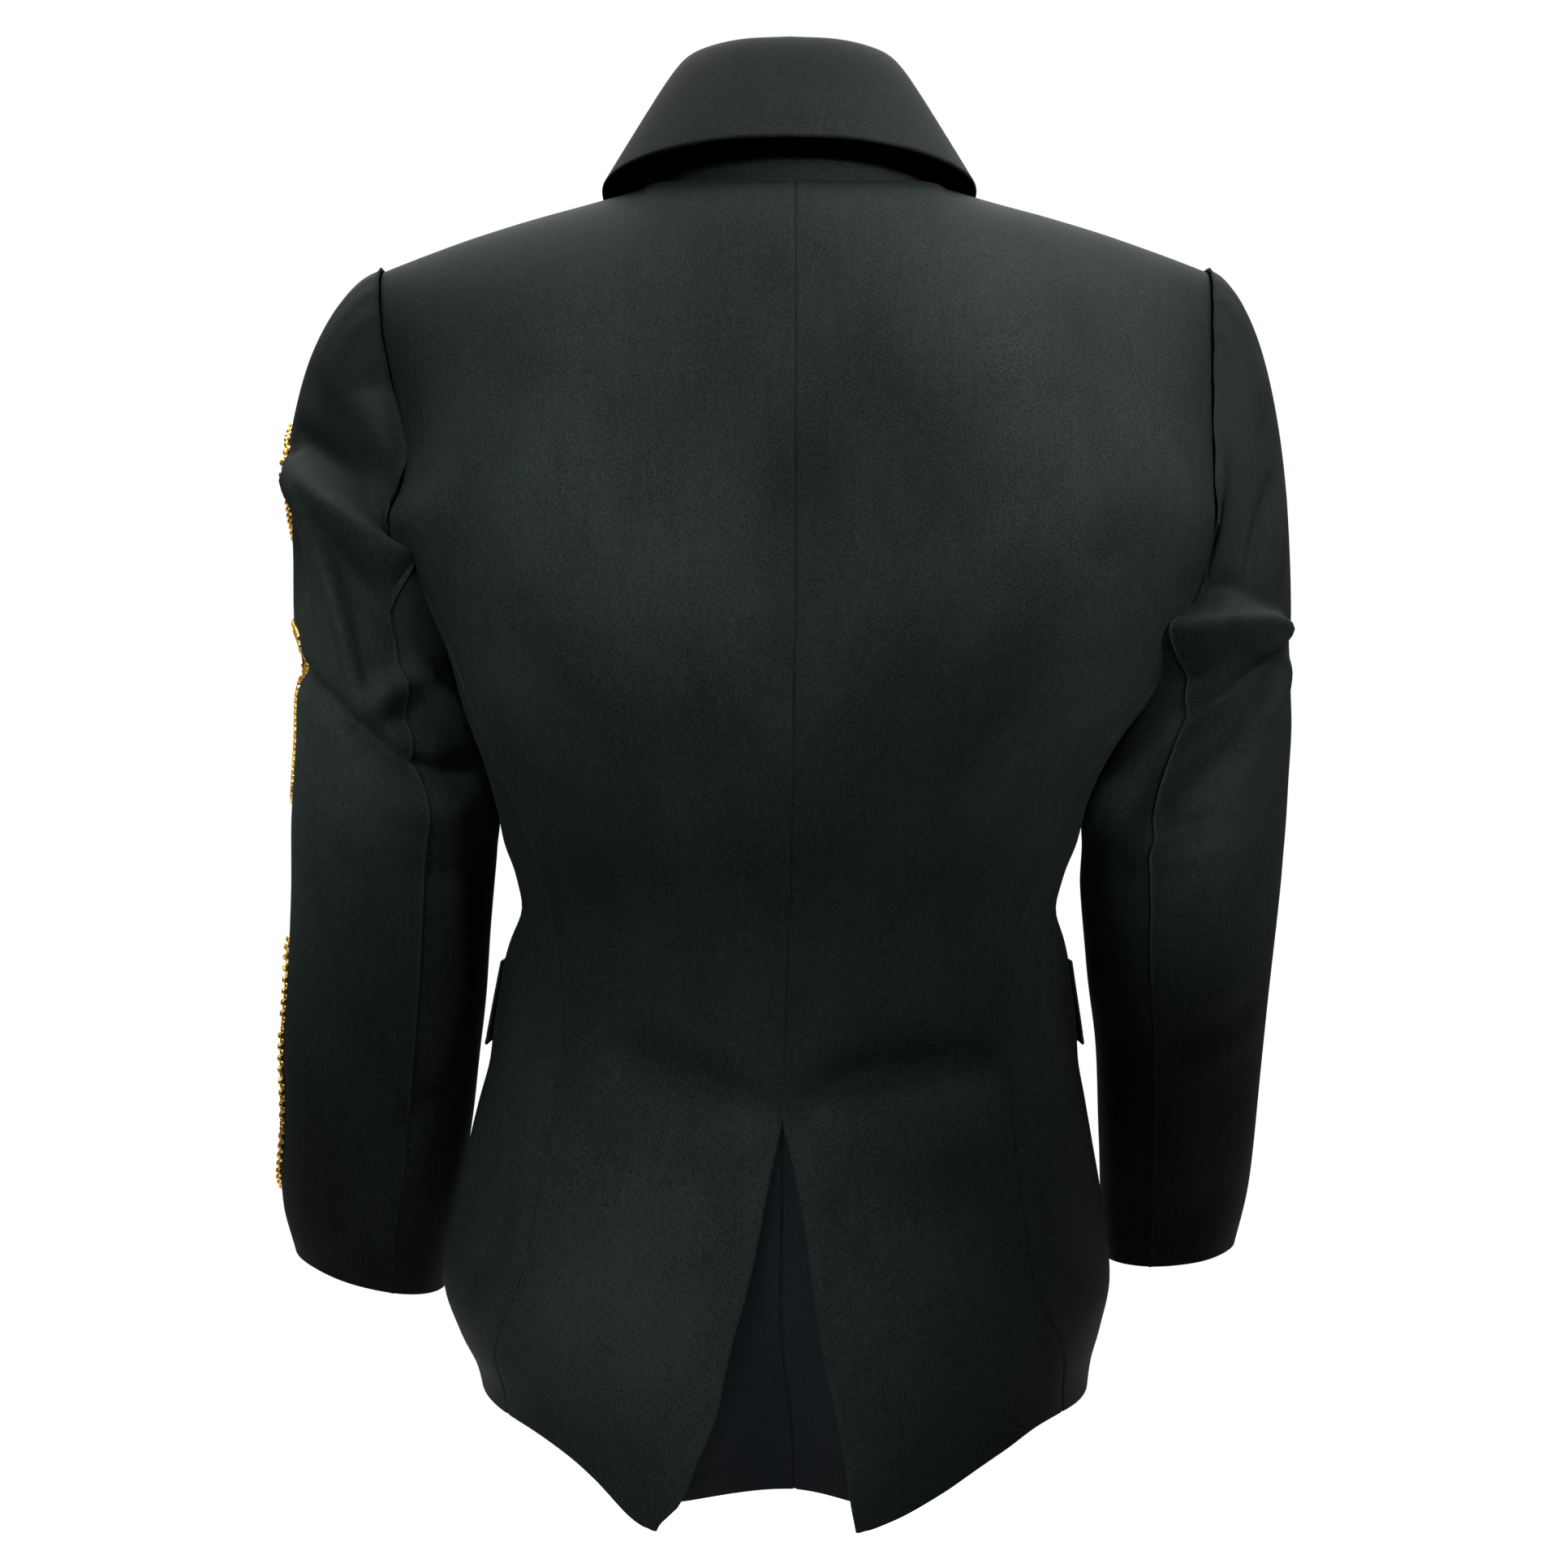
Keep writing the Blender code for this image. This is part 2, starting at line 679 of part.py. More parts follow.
def sleeve_head(side, around, part):
    """The sleeve head: out from the armhole and over into the first girth."""
    start = armhole(side, around) + Vector((side * SLEEVE_SETBACK, 0, 0))
    end = sleeve_ring(side, around, SLEEVE_TOP_Z)
    high = (1 + math.cos(around * 2 * math.pi)) / 2
    reach = ARMPIT_REACH + HEAD_REACH[side] * high ** 0.7
    leave = start + Vector((side * reach, 0, -HEAD_SINK * (1 + high / 2)))
    swell = HEAD_SWELL[side] * high * high
    arrive = end + Vector((side * swell, 0, ARMPIT_RISE + TIP_RISE * high))
    rest = 1 - part
    return (start * rest ** 3 + leave * 3 * rest * rest * part
            + arrive * 3 * rest * part * part + end * part ** 3)


def sleeve_surface(side, first, last):
    """Between two seams (u 0 to 1), from the armhole (v 0) over the head (v 1) to the cuff."""
    bottom = sorted(SLEEVES[side][1])[0][0]

    def smooth_surface(u, v):
        inset = HALF_GAP / SLEEVE_GIRTH
        around = mix(first + inset, last - inset, u)
        if v <= 1:
            return sleeve_head(side, around, v)
        return sleeve_ring(side, around, mix(SLEEVE_TOP_Z, bottom, v - 1))

    def surface(u, v):
        point = smooth_surface(u, v)
        around = mix(first, last, u)
        height = fold_height(SLEEVE_FOLDS[side], around, point.z, SLEEVE_GIRTH)
        height *= min(max(v / HEAD_SMOOTH, 0.0), 1.0)
        outwards = lean_outwards(smooth_surface, u, v) * side
        return point + outwards * height
    return surface


def make_sleeves():
    head = steps(SLEEVE_HEAD_ROWS)
    rows = head + steps(SLEEVE_ROWS, 1.0, 2.0)[1:]
    pieces = (
        ("upper_sleeve_", -SLEEVE_SEAM, SLEEVE_SEAM, 2 * YOKE_ROWS),
        ("under_sleeve_", SLEEVE_SEAM, 1 - SLEEVE_SEAM, SIDE_STEPS),
    )
    for side, name in ((1, "left"), (-1, "right")):
        for start, first, last, count in pieces:
            cloth_wall(start + name, sleeve_surface(side, first, last), steps(count), rows,
                       turn=side)


# Pocket flaps, vent underlays and the button


def flap_surface(side):
    """Back end (u 0) to front end (u 1), lower edge (v 0) to the pocket mouth (v 1)."""
    def surface(u, v):
        angle = mix(FLAP_BACK_ANGLE, FLAP_FRONT_ANGLE, u)
        z = FLAP_TOP - FLAP_HEIGHT * (1 - v)
        step = 0.01
        point = body_point(side, angle, z)
        across = body_point(side, angle + step, z) - body_point(side, angle - step, z)
        normal = side * across.cross(Vector((0, 0, -1))).normalized()
        return point + normal * (CLOTH + LAYER_GAP + 0.6 * (1 - v))
    return surface


def underlay_surface(side):
    """Centre seam (u 0) to the fold under the back (u 1), hem (v 0) to the vent's apex (v 1)."""
    def surface(u, v):
        low = 1 - v
        z = mix(UNDERLAY_HEM, VENT_APEX + UNDERLAY_TOP, v)
        reach = vent_edge(side, z) + mix(UNDERLAY_TOP, UNDERLAY_TURN, low)
        seam = -UNDERLAY_SEAM_SWING * low * side
        x = mix(seam + HALF_GAP, reach, u)
        point = body_point(side, angle_at(x, z), z)
        deep = 0.5 + 0.5 * math.cos(math.pi * min(abs(x) / reach, 1))
        point.y -= CLOTH + UNDERLAY_GAP + UNDERLAY_DEPTH * low * deep
        point.y += fold_height(BACK_FOLDS[side], side * point.x, point.z)
        return point
    return surface


def make_button():
    """A dished round button with a raised rim, lying on the right front."""
    centre = front_at(-1, 0.0, BUTTON_Z)
    above = front_at(-1, 0.0, BUTTON_Z + BUTTON_RADIUS)
    slope = above - front_at(-1, 0.0, BUTTON_Z - BUTTON_RADIUS)
    axis = Vector((0, -slope.z, slope.y)).normalized()
    side_way = Vector((1, 0, 0))
    up = side_way.cross(axis)
    profile = (
        (BUTTON_RADIUS - 2 * BUTTON_EDGE, BUTTON_LIFT),
        (BUTTON_RADIUS, BUTTON_LIFT + 2 * BUTTON_EDGE),
        (BUTTON_RADIUS - BUTTON_EDGE, BUTTON_RIM),
        (BUTTON_RADIUS - BUTTON_RIM_WIDTH / 2, BUTTON_RIM + BUTTON_EDGE),
        (BUTTON_RADIUS - BUTTON_RIM_WIDTH, BUTTON_DISH),
    )
    segments = BUTTON_SEGMENTS
    vertices, faces = [], []
    for radius, height in profile:
        for index in range(segments):
            turn = 2 * math.pi * index / segments
            spoke = side_way * math.cos(turn) + up * math.sin(turn)
            vertices.append(centre + axis * height + spoke * radius)
    for ring in range(len(profile) - 1):
        for index in range(segments):
            after = (index + 1) % segments
            a, b = ring * segments + index, ring * segments + after
            faces.append((a, b, b + segments, a + segments))
    faces.append(tuple(range(segments)))
    last = (len(profile) - 1) * segments
    faces.append(tuple(last + index for index in range(segments)))
    solid("front_button", vertices, faces, "button")


def make_trims():
    for side, name in ((1, "left"), (-1, "right")):
        cloth_wall("pocket_flap_" + name, flap_surface(side), steps(8), steps(3), turn=-side)
        cloth_wall("vent_underlay_" + name, underlay_surface(side), steps(5), steps(8),
                   turn=-side)
    make_button()


clear_scene()
make_body()
make_lapels()
make_collar()
make_sleeves()
make_trims()
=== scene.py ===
"""Embellished blazer, seen from the back as it hangs when worn, with no wearer in it.

Sizes are millimetres in the tables and metres in the meshes. The front faces -Y, the wearer's
left is +X, and the origin is at the neck seam, in the middle of the neck. A side is 1 for the
wearer's left and -1 for the right, and u and v run across a piece of cloth and up it.
"""
import math

import bpy
import numpy as np
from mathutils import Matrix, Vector


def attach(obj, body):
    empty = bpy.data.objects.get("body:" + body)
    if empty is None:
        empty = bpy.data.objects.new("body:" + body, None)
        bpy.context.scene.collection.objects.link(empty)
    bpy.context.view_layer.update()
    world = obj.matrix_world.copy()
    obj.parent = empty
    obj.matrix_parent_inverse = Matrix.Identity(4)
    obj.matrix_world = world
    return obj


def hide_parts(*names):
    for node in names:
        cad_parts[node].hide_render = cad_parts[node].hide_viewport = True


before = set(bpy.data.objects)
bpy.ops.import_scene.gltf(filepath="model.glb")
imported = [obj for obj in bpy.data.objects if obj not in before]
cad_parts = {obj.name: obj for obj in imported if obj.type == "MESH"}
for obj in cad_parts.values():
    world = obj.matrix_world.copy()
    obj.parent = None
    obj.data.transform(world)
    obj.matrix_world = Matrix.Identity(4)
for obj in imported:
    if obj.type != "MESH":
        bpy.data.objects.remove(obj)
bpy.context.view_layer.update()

# Camera
# It looks level at the back of the blazer from 945 mm behind the neck, with its axis half
# way down the back, and takes in 725 mm of height and width in the plane of the back.
CAMERA_PLACE = (0.00525, 0.945, -0.296)
SEEN_HALF_WIDTH = 0.36225
BACK_TO_CAMERA = 0.830


def placed(name, data):
    """An object of the mesh, lamp or camera, in the scene."""
    item = bpy.data.objects.new(name, data)
    bpy.context.scene.collection.objects.link(item)
    return item


lens = bpy.data.cameras.new("photo_view")
lens.sensor_fit = "HORIZONTAL"
lens.angle = 2 * math.atan(SEEN_HALF_WIDTH / BACK_TO_CAMERA)
camera = placed("photo_view", lens)
camera.location = CAMERA_PLACE
camera.rotation_euler = (math.radians(90), 0, math.radians(180))
bpy.context.scene.camera = camera


# Backs
# The left and right back are cut from black worsted gabardine and sewn together down the
# centre, and the seam opens below the hip into a vent whose two edges are faced and pressed.
# Each back is pressed over the shoulder blade and eased into the shoulder and side seams.
SIDES = ((1, "left"), (-1, "right"))
MM = 0.001
# How thick the solids' walls are, and a shell of cloth here
CLOTH, SHELL = 2.0, 1.3
# The shells lap by 0.1 mm at a seam, on a girth whose radius there is 1.15 of its depth
HALF_GAP, RADIUS_TO_DEPTH = -0.1, 1.15
# The body's girths: half width, depths behind and ahead of the arms' line, shift to the left
GIRTHS = (("z", "half_width", "back", "front", "shift"), (
    (-650, 155.5, 111, 112, 4.0),
    (-612, 156.5, 112, 113, 4.5),
    (-592, 159.0, 113, 114, 5.5),
    (-575, 165.5, 114, 115, 7.5),
    (-551, 171.5, 115, 115, 9.0),
    (-515, 167.0, 114, 112, 8.0),
    (-466, 159.0, 110, 106, 6.5),
    (-432, 154.0, 105, 101, 5.0),
    (-390, 147.5, 100, 97, 4.0),
    (-353, 141.5, 98, 95, 2.5),
    (-310, 153.0, 103, 102, 1.5),
    (-268, 167.0, 109, 114, 0.5),
    (-228, 178.0, 112, 119, 0.0),
    (-205, 187.0, 111, 115, 0.0),
    (-165, 200.0, 109, 105, 0.0),
))
# How much squarer than an oval a girth is
SQUARE = 0.25
# Above YOKE_Z the girths lean in to the shoulder line, from the neck's side to the tip
YOKE_Z, YOKE_DEPTH = -165, 90
YOKE_TOP = 1 - HALF_GAP / YOKE_DEPTH
NECK_X, NECK_Y, NECK_Z, NAPE_Y = 75, 12, 10, 62
TIP_X, TIP_Y, TIP_Z = 214, 8, -30
SHOULDER_SWELL, NECK_SPREAD = 2.5, 115
ARM_X = {"back": 185, "front": 180}
# The back stands out past the arm seam, most where the armhole turns under the arm, and less
# at an angle from it
DRAPE_INSIDE, DRAPE_OUTSIDE = 0.34, 0.20
DRAPE = (("z", "left", "right"), (
    (-310, 0, 0),
    (-290, 2, 4),
    (-271, 4, 10),
    (-257, 5, 17),
    (-241, 5.5, 22),
    (-228, 6, 25),
    (-207, 8, 26),
    (-184, 14, 27),
    (-165, 18, 25),
    (-148, 8, 21),
    (-130, 2.5, 17),
    (-105, 2, 12),
    (-70, 3, 6),
    (-30, 0, 1),
))
# Distance of the seams from the centre line
SEAMS = (("z", "back_seam", "front_seam"), (
    (-650, 136, 122),
    (-612, 134, 124),
    (-580, 130, 126),
    (-520, 119, 124),
    (-443, 109, 118),
    (-393, 111, 114),
    (-330, 129, 122),
    (-262, 154, 143),
    (-205, 175, 168),
    (-165, 185, 180),
))
# Distance of the vent's edges from the centre line, and the hem's height across the back.
# Beside the vent a row of cloth lies lower than its nominal height, by VENT_DROP.
VENT_APEX, VENT_DROP = -452, 1.027
VENT = (("z", "left", "right"), (
    (-650, 63, 34),
    (-639, 60, 32),
    (-627, 50, 30),
    (-605, 41, 28),
    (-579, 29.5, 25),
    (-537, 15.5, 18),
    (-507, 9.5, 13),
    (-477, 4.5, 7),
    (-452, 0.0, 0.0),
))
HEM = (("across", "left", "right"), (
    (0.00, -647, -645),
    (0.20, -647, -645),
    (0.33, -647, -639),
    (0.45, -642, -630),
    (0.58, -624, -619),
    (0.67, -614, -612),
    (0.77, -607, -605),
    (0.87, -604, -603),
    (1.00, -603, -605),
))
FRONT_HEM, NOMINAL_HEM = -604, -625
# One row for each fold: three places that it runs through, as distance across and height,
# how far it stands out, its half width, and how much steeper its second side is, if it is.
FOLD_COLUMNS = ("a_1", "z_1", "a_2", "z_2", "a_3", "z_3", "height", "width", "steep")
# Folds die away into the seam that they run to, the sooner the lower this is
FOLD_RELEASE = 10
BACK_FOLDS = {
    1: (
        (8, -453, 41, -438, 78, -424, -8.0, 11),
        (30, -466, 62, -462, 96, -448, 4.0, 14),
        (22, -500, 62, -498, 104, -490, 4.6, 26),
        (104, -516, 84, -526, 56, -530, -1.4, 17),
        (14, -246, 38, -276, 66, -302, -5.5, 20),
        (96, -330, 80, -380, 84, -440, 1.6, 14),
        (60, -480, 52, -540, 66, -600, 1.8, 20),
        (132, -205, 122, -255, 108, -312, -2.0, 15),
        (150, -70, 165, -95, 172, -130, -1.4, 14),
        (40, -60, 78, -90, 120, -150, 1.4, 34),
    ),
    -1: (
        (6, -452, 36, -434, 104, -432, -11.5, 13),
        (34, -466, 66, -470, 98, -458, 3.0, 14),
        (138, -196, 118, -240, 84, -318, -8.5, 20),
        (158, -196, 140, -232, 112, -286, 2.2, 12),
        (100, -446, 87, -490, 82, -566, 3.8, 9, 1.2),
        (130, -440, 121, -520, 114, -590, -2.2, 9),
        (92, -470, 84, -520, 78, -585, -1.8, 10),
        (40, -500, 52, -560, 66, -620, 1.4, 18),
        (40, -60, 84, -96, 124, -150, 1.8, 34),
    ),
}


def read(table, name, at):
    """The named column's value on a smooth curve through the table's rows."""
    columns, rows = table
    rows = np.array(sorted(rows), float)
    stops, values = rows[:, 0], rows[:, columns.index(name)]
    slopes = np.empty(len(rows))
    slopes[1:-1] = (values[2:] - values[:-2]) / (stops[2:] - stops[:-2])
    slopes[0] = (values[1] - values[0]) / (stops[1] - stops[0])
    slopes[-1] = (values[-1] - values[-2]) / (stops[-1] - stops[-2])
    at = np.clip(at, stops[0], stops[-1])
    low = np.clip(np.searchsorted(stops, at) - 1, 0, len(rows) - 2)
    span = stops[low + 1] - stops[low]
    part = (at - stops[low]) / span
    rising = part * part * (3 - 2 * part)
    leaving = part * (1 - part) ** 2 * span * slopes[low]
    arriving = part * part * (part - 1) * span * slopes[low + 1]
    return values[low] + (values[low + 1] - values[low]) * rising + leaving + arriving


def mix(start, end, part):
    """The value at a part of the way from start to end."""
    return start + (end - start) * part


def curve(start, bend, end, t):
    """The curve from start to end that leaves and arrives towards bend."""
    return start * (1 - t) ** 2 + bend * 2 * t * (1 - t) + end * t ** 2


def places(x, y, z):
    """Points from their three coordinates, spread to one shape."""
    return np.stack(np.broadcast_arrays(x, y, z), axis=-1).astype(float)


def unit(ways):
    """The same ways, each 1 long."""
    return ways / np.maximum(np.linalg.norm(ways, axis=-1, keepdims=True), 1e-9)


# A fold is drawn as a curve of straight parts, and has 0.45 of its height at its ends
FOLD_PARTS, FOLD_END = 8, 0.45


def fold_height(folds, across, z):
    """Height of all the folds at places on the cloth, each fading out past its ends."""
    total = np.zeros(np.broadcast(across, z).shape)
    for row in folds:
        fold = dict(zip(FOLD_COLUMNS, (*row, 1.0)))
        start = np.array((fold["a_1"], fold["z_1"]), float)
        middle = np.array((fold["a_2"], fold["z_2"]), float)
        end = np.array((fold["a_3"], fold["z_3"]), float)
        t = np.linspace(0, 1, FOLD_PARTS + 1)[:, None]
        line = curve(start, 2 * middle - (start + end) / 2, end, t)
        nearest = np.full(total.shape, np.inf)
        along, beside = np.zeros(total.shape), np.zeros(total.shape)
        for index, (here, run) in enumerate(zip(line, np.diff(line, axis=0))):
            off_a, off_z = across - here[0], z - here[1]
            part = np.clip((off_a * run[0] + off_z * run[1]) / run.dot(run), 0, 1)
            gap = np.hypot(off_a - part * run[0], off_z - part * run[1])
            nearer = gap < nearest
            nearest = np.where(nearer, gap, nearest)
            along = np.where(nearer, (index + part) / FOLD_PARTS, along)
            beside = np.where(nearer, run[0] * off_z - run[1] * off_a, beside)
        width = fold["width"] * np.where(beside > 0, 1 / fold["steep"], 1.0)
        swell = mix(FOLD_END, 1.0, np.sin(np.pi * along))
        total += fold["height"] * swell * np.exp(-(nearest / width) ** 2)
    return total


def column(side):
    """The side's name, as the tables' columns have it."""
    return "left" if side > 0 else "right"


def angle_at(distance, z):
    """Angle from the centre line of a place at a distance from it, on the girth at z."""
    return np.arcsin(np.clip(distance / read(GIRTHS, "half_width", z), -1, 1))


ARM_ANGLE = {face: float(angle_at(ARM_X[face], YOKE_Z)) for face in ARM_X}


def drape(side, angle, z):
    """How far the back stands out sideways at the armhole, fading across the back."""
    away = angle - ARM_ANGLE["back"]
    width = np.where(away < 0, DRAPE_INSIDE, DRAPE_OUTSIDE)
    return read(DRAPE, column(side), z) * np.exp(-(away / width) ** 2)


def body_point(side, angle, z):
    """A place on the body: angle runs from the centre back (0) to the centre front (pi)."""
    depth = np.where(angle <= np.pi / 2, read(GIRTHS, "back", z), read(GIRTHS, "front", z))
    y = depth * np.cos(angle) * (1 + SQUARE * np.sin(angle) ** 2)
    x = read(GIRTHS, "half_width", z) * np.sin(angle) + drape(side, angle, z)
    return places(side * x + read(GIRTHS, "shift", z), y, z)


def gap_angle(z):
    """Angle that half the gap at a seam takes up on the girth at z."""
    return HALF_GAP / (read(GIRTHS, "back", z) * RADIUS_TO_DEPTH)


def shoulder_line(x, face):
    """Height and depth of the top of the yoke at a distance x from the middle."""
    part = (x - NECK_X) / (TIP_X - NECK_X)
    swell = SHOULDER_SWELL * np.sin(np.pi * np.clip(part, 0, 1))
    out_z, out_y = mix(NECK_Z, TIP_Z, part) + swell, mix(NECK_Y, TIP_Y, part)
    if face == "front":
        in_z, in_y = NECK_Z, NECK_Y
    else:
        near = np.clip(x, 0, NECK_X) / NECK_X
        in_z, in_y = NECK_Z * near ** 2, mix(NECK_Y, NAPE_Y, np.sqrt(1 - near ** 2))
    return np.where(x >= NECK_X, out_z, in_z), np.where(x >= NECK_X, out_y, in_y)


def yoke_point(side, face, angle, t):
    """A place above the armhole level: t runs from that level (0) to the shoulder seam (1)."""
    rise, ease = np.sin(t * np.pi / 2), np.cos(t * np.pi / 2)
    x = mix(ARM_X[face], TIP_X, rise) * np.sin(angle) / math.sin(ARM_ANGLE[face])
    top_z, top_y = shoulder_line(x, face)
    base = body_point(1, angle if face == "back" else np.pi - angle, YOKE_Z)
    z = mix(YOKE_Z, top_z, rise)
    if face == "back":
        soft_y = mix(NAPE_Y, TIP_Y, np.sin(np.clip(x / NECK_SPREAD, 0, 1) * np.pi / 2) ** 2)
        top_y = mix(soft_y, top_y, np.clip(t, 0, 1) ** 3)
        x = x + drape(side, angle, z)
    return places(side * x, mix(top_y, base[..., 1], ease), z)


def body_row(side, angle, nominal):
    """A place on the body in a row that follows the hem's curve, less so higher up."""
    across = np.sin(np.clip(angle, 0, np.pi / 2))
    hem = read(HEM, column(side), across)
    hem = np.where(angle > np.pi / 2, FRONT_HEM, hem)
    part = (nominal - NOMINAL_HEM) / (YOKE_Z - NOMINAL_HEM)
    return body_point(side, angle, mix(hem, YOKE_Z, part))


def vent_edge(side, z):
    """Distance of the back's vent edge from the centre line, nothing above the apex."""
    return np.where(z > VENT_APEX, 0.0, read(VENT, column(side), z))


# Long low waves in the cloth: width, length and height of each
WAVES = ((71, 143, 0.20), (47, 205, 0.16), (103, 61, 0.16), (38, 83, 0.10))


def undulation(across, z, seed):
    """The slight unevenness of pressed cloth: a few long waves, well under a millimetre."""
    total = 0.0
    for index, (wide, tall, height) in enumerate(WAVES):
        phase = seed * 2.4 + index * 1.7
        total = total + height * np.sin(2 * np.pi * across / wide + phase) * np.cos(
            2 * np.pi * z / tall + phase * 1.3)
    return total


def back_surface(side):
    """Centre back (u 0) to side seam and armhole (u 1), hem (v 0) to shoulder (v 2)."""
    def surface(u, v):
        nominal = mix(NOMINAL_HEM, YOKE_Z, np.minimum(v, 1))
        gap = gap_angle(nominal)
        start = angle_at(vent_edge(side, nominal * VENT_DROP), nominal) + gap
        end = angle_at(read(SEAMS, "back_seam", nominal), nominal) - gap
        low = body_row(side, mix(start, end, u), nominal)
        edge = gap_angle(YOKE_Z)
        t = np.maximum(v - 1, 0) * YOKE_TOP
        high = yoke_point(side, "back", mix(edge, ARM_ANGLE["back"] - edge, u), t)
        point = np.where((v <= 1)[..., None], low, high)
        across, z = side * point[..., 0], point[..., 2]
        sewn = 1 - np.clip(u, 0, 1) ** FOLD_RELEASE
        point[..., 1] += fold_height(BACK_FOLDS[side], across, z) * sewn
        point[..., 1] += undulation(across, z, side)
        return point
    return surface


# Distances from an edge of the rows of points that shape it
EDGE_ROWS = np.array((0, 0.15, 0.45, 1.0, 1.8, 2.8, 4.2, 6.5))
# How deep each side is rolled in beside its seam, how deep the seam's own crease is, and how
# wide both are
SEAM_ROLL, SEAM_ROLL_WIDTH = (0.25, 0.25, 0.8, 0.8), 1.6
SEAM_CREASE, SEAM_CREASE_WIDTH = 0.7, 0.45
# Places at which a surface is first measured, and how wide it is at least, in edges' widths
ROUGH_U, ROUGH_V, NARROWEST = 61, 121, 2.6
FARTHEST_EDGE = 99.0


def even_rows(total, step):
    """How many rows, about a step apart, lie between the edges' rows."""
    return max(int(round((total - 2 * EDGE_ROWS[-1]) / step)), 2) + 1


def spaced(total, count, near=EDGE_ROWS):
    """Distances from 0 to total: close together at both ends, count even ones between."""
    middle = np.linspace(near[-1], total - near[-1], count)
    return np.concatenate([near[:-1], middle, total - near[:-1][::-1]])


def run_lengths(points, axis):
    """Distance along each line of a grid of points, from its first one."""
    gaps = np.linalg.norm(np.diff(points, axis=axis), axis=-1)
    zero = np.zeros_like(np.take(gaps, [0], axis=axis))
    return np.cumsum(np.concatenate([zero, gaps], axis=axis), axis=axis)


def cloth(name, surface, turn, edges, v_end=1.0, step=4.0, shell=SHELL, grooves=()):
    """A shell of cloth on a surface, with the threads' own measures kept on its points.

    turn is 1 or -1, whichever faces it outwards. edges says how each side ends, as (u 0, u 1,
    v 0, v 1): "seam" is rolled in where it is sewn and pressed, "free" is folded over to a
    round edge. A groove is a side, its distance from it, depth, half width and the height
    that it runs up to.
    """
    rough_u, rough_v = np.linspace(0, 1, ROUGH_U), np.linspace(0, v_end, ROUGH_V)
    rough = surface(*np.meshgrid(rough_u, rough_v))
    tall = run_lengths(rough, 0)[:, ROUGH_U // 2]
    rows_v = np.interp(spaced(tall[-1], even_rows(tall[-1], step)), tall, rough_v)
    count_u = even_rows(run_lengths(rough, 1)[:, -1].max(), step)
    rows_u = []
    for run in run_lengths(surface(*np.meshgrid(rough_u, rows_v)), 1):
        near = EDGE_ROWS * min(1.0, run[-1] / (NARROWEST * EDGE_ROWS[-1]))
        rows_u.append(np.interp(spaced(run[-1], count_u, near), run, rough_u))
    u = np.array(rows_u)
    outer = surface(u, np.repeat(rows_v[:, None], u.shape[1], axis=1))
    across, up = run_lengths(outer, 1), run_lengths(outer, 0)
    from_edges = (across, across[:, -1:] - across, up, up[-1:, :] - up)
    normal = turn * unit(np.cross(np.gradient(outer, axis=1), np.gradient(outer, axis=0)))
    sink, pinch, half = np.zeros(u.shape), np.zeros(u.shape), shell / 2
    for kind, distance, roll in zip(edges, from_edges, SEAM_ROLL):
        if kind == "seam":
            sink += roll * np.exp(-(distance / SEAM_ROLL_WIDTH) ** 2)
            sink += SEAM_CREASE * np.exp(-(distance / SEAM_CREASE_WIDTH) ** 2)
        elif kind == "free":
            near = np.clip(1 - distance / half, 0, 1)
            pinch = np.maximum(pinch, half * (1 - np.sqrt(1 - near ** 2)))
    for place, away, depth, width, top in grooves:
        sink += depth * np.exp(-((from_edges[place] - away) / width) ** 2) * (up < top)
    inner = outer - normal * (sink + shell - pinch)[..., None]
    outer = outer - normal * (sink + pinch)[..., None]

    index = np.arange(u.size).reshape(u.shape)
    a, b = index[:-1, :-1].ravel(), index[:-1, 1:].ravel()
    c, d = index[1:, 1:].ravel(), index[1:, :-1].ravel()
    ring = np.concatenate([index[0, :], index[1:, -1], index[-1, -2::-1], index[-2:0:-1, 0]])
    after = np.roll(ring, -1)
    faces = np.concatenate([
        np.stack([a, b, c, d], axis=1),
        np.stack([a, d, c, b], axis=1) + u.size,
        np.stack([ring, ring + u.size, after + u.size, after], axis=1),
    ])
    if turn < 0:
        faces = faces[:, ::-1]
    points = np.concatenate([outer.reshape(-1, 3), inner.reshape(-1, 3)])
    mesh = bpy.data.meshes.new(name)
    mesh.from_pydata((points * MM).tolist(), [], faces.tolist())
    edge = np.minimum(np.minimum.reduce(from_edges), FARTHEST_EDGE)
    threads = np.stack([across - across[:, -1:] / 2, up, edge], axis=-1).reshape(-1, 3)
    kept = mesh.attributes.new("threads", "FLOAT_VECTOR", "POINT")
    kept.data.foreach_set("vector", np.concatenate([threads, threads]).ravel())
    mesh.shade_smooth()
    mesh.set_sharp_from_angle(angle=math.radians(60))
    return placed(name, mesh)


def linear(code):
    """A colour from its sRGB hex value."""
    parts = [int(code[place:place + 2], 16) / 255 for place in (1, 3, 5)]
    return tuple(p / 12.92 if p <= 0.04045 else ((p + 0.055) / 1.055) ** 2.4
                 for p in parts) + (1.0,)


def node(tree, kind, inputs=None, **settings):
    """Adds a node: settings are its own choices, inputs are values or sockets to link."""
    new = tree.nodes.new(kind)
    for name, value in settings.items():
        setattr(new, name, value)
    for name, value in (inputs or {}).items():
        if isinstance(value, bpy.types.NodeSocket):
            tree.links.new(value, new.inputs[name])
        else:
            new.inputs[name].default_value = value
    return new


def new_material(name):
    """A material and its node tree, with no nodes yet."""
    material = bpy.data.materials.new(name)
    material.use_nodes = True
    material.node_tree.nodes.clear()
    return material, material.node_tree


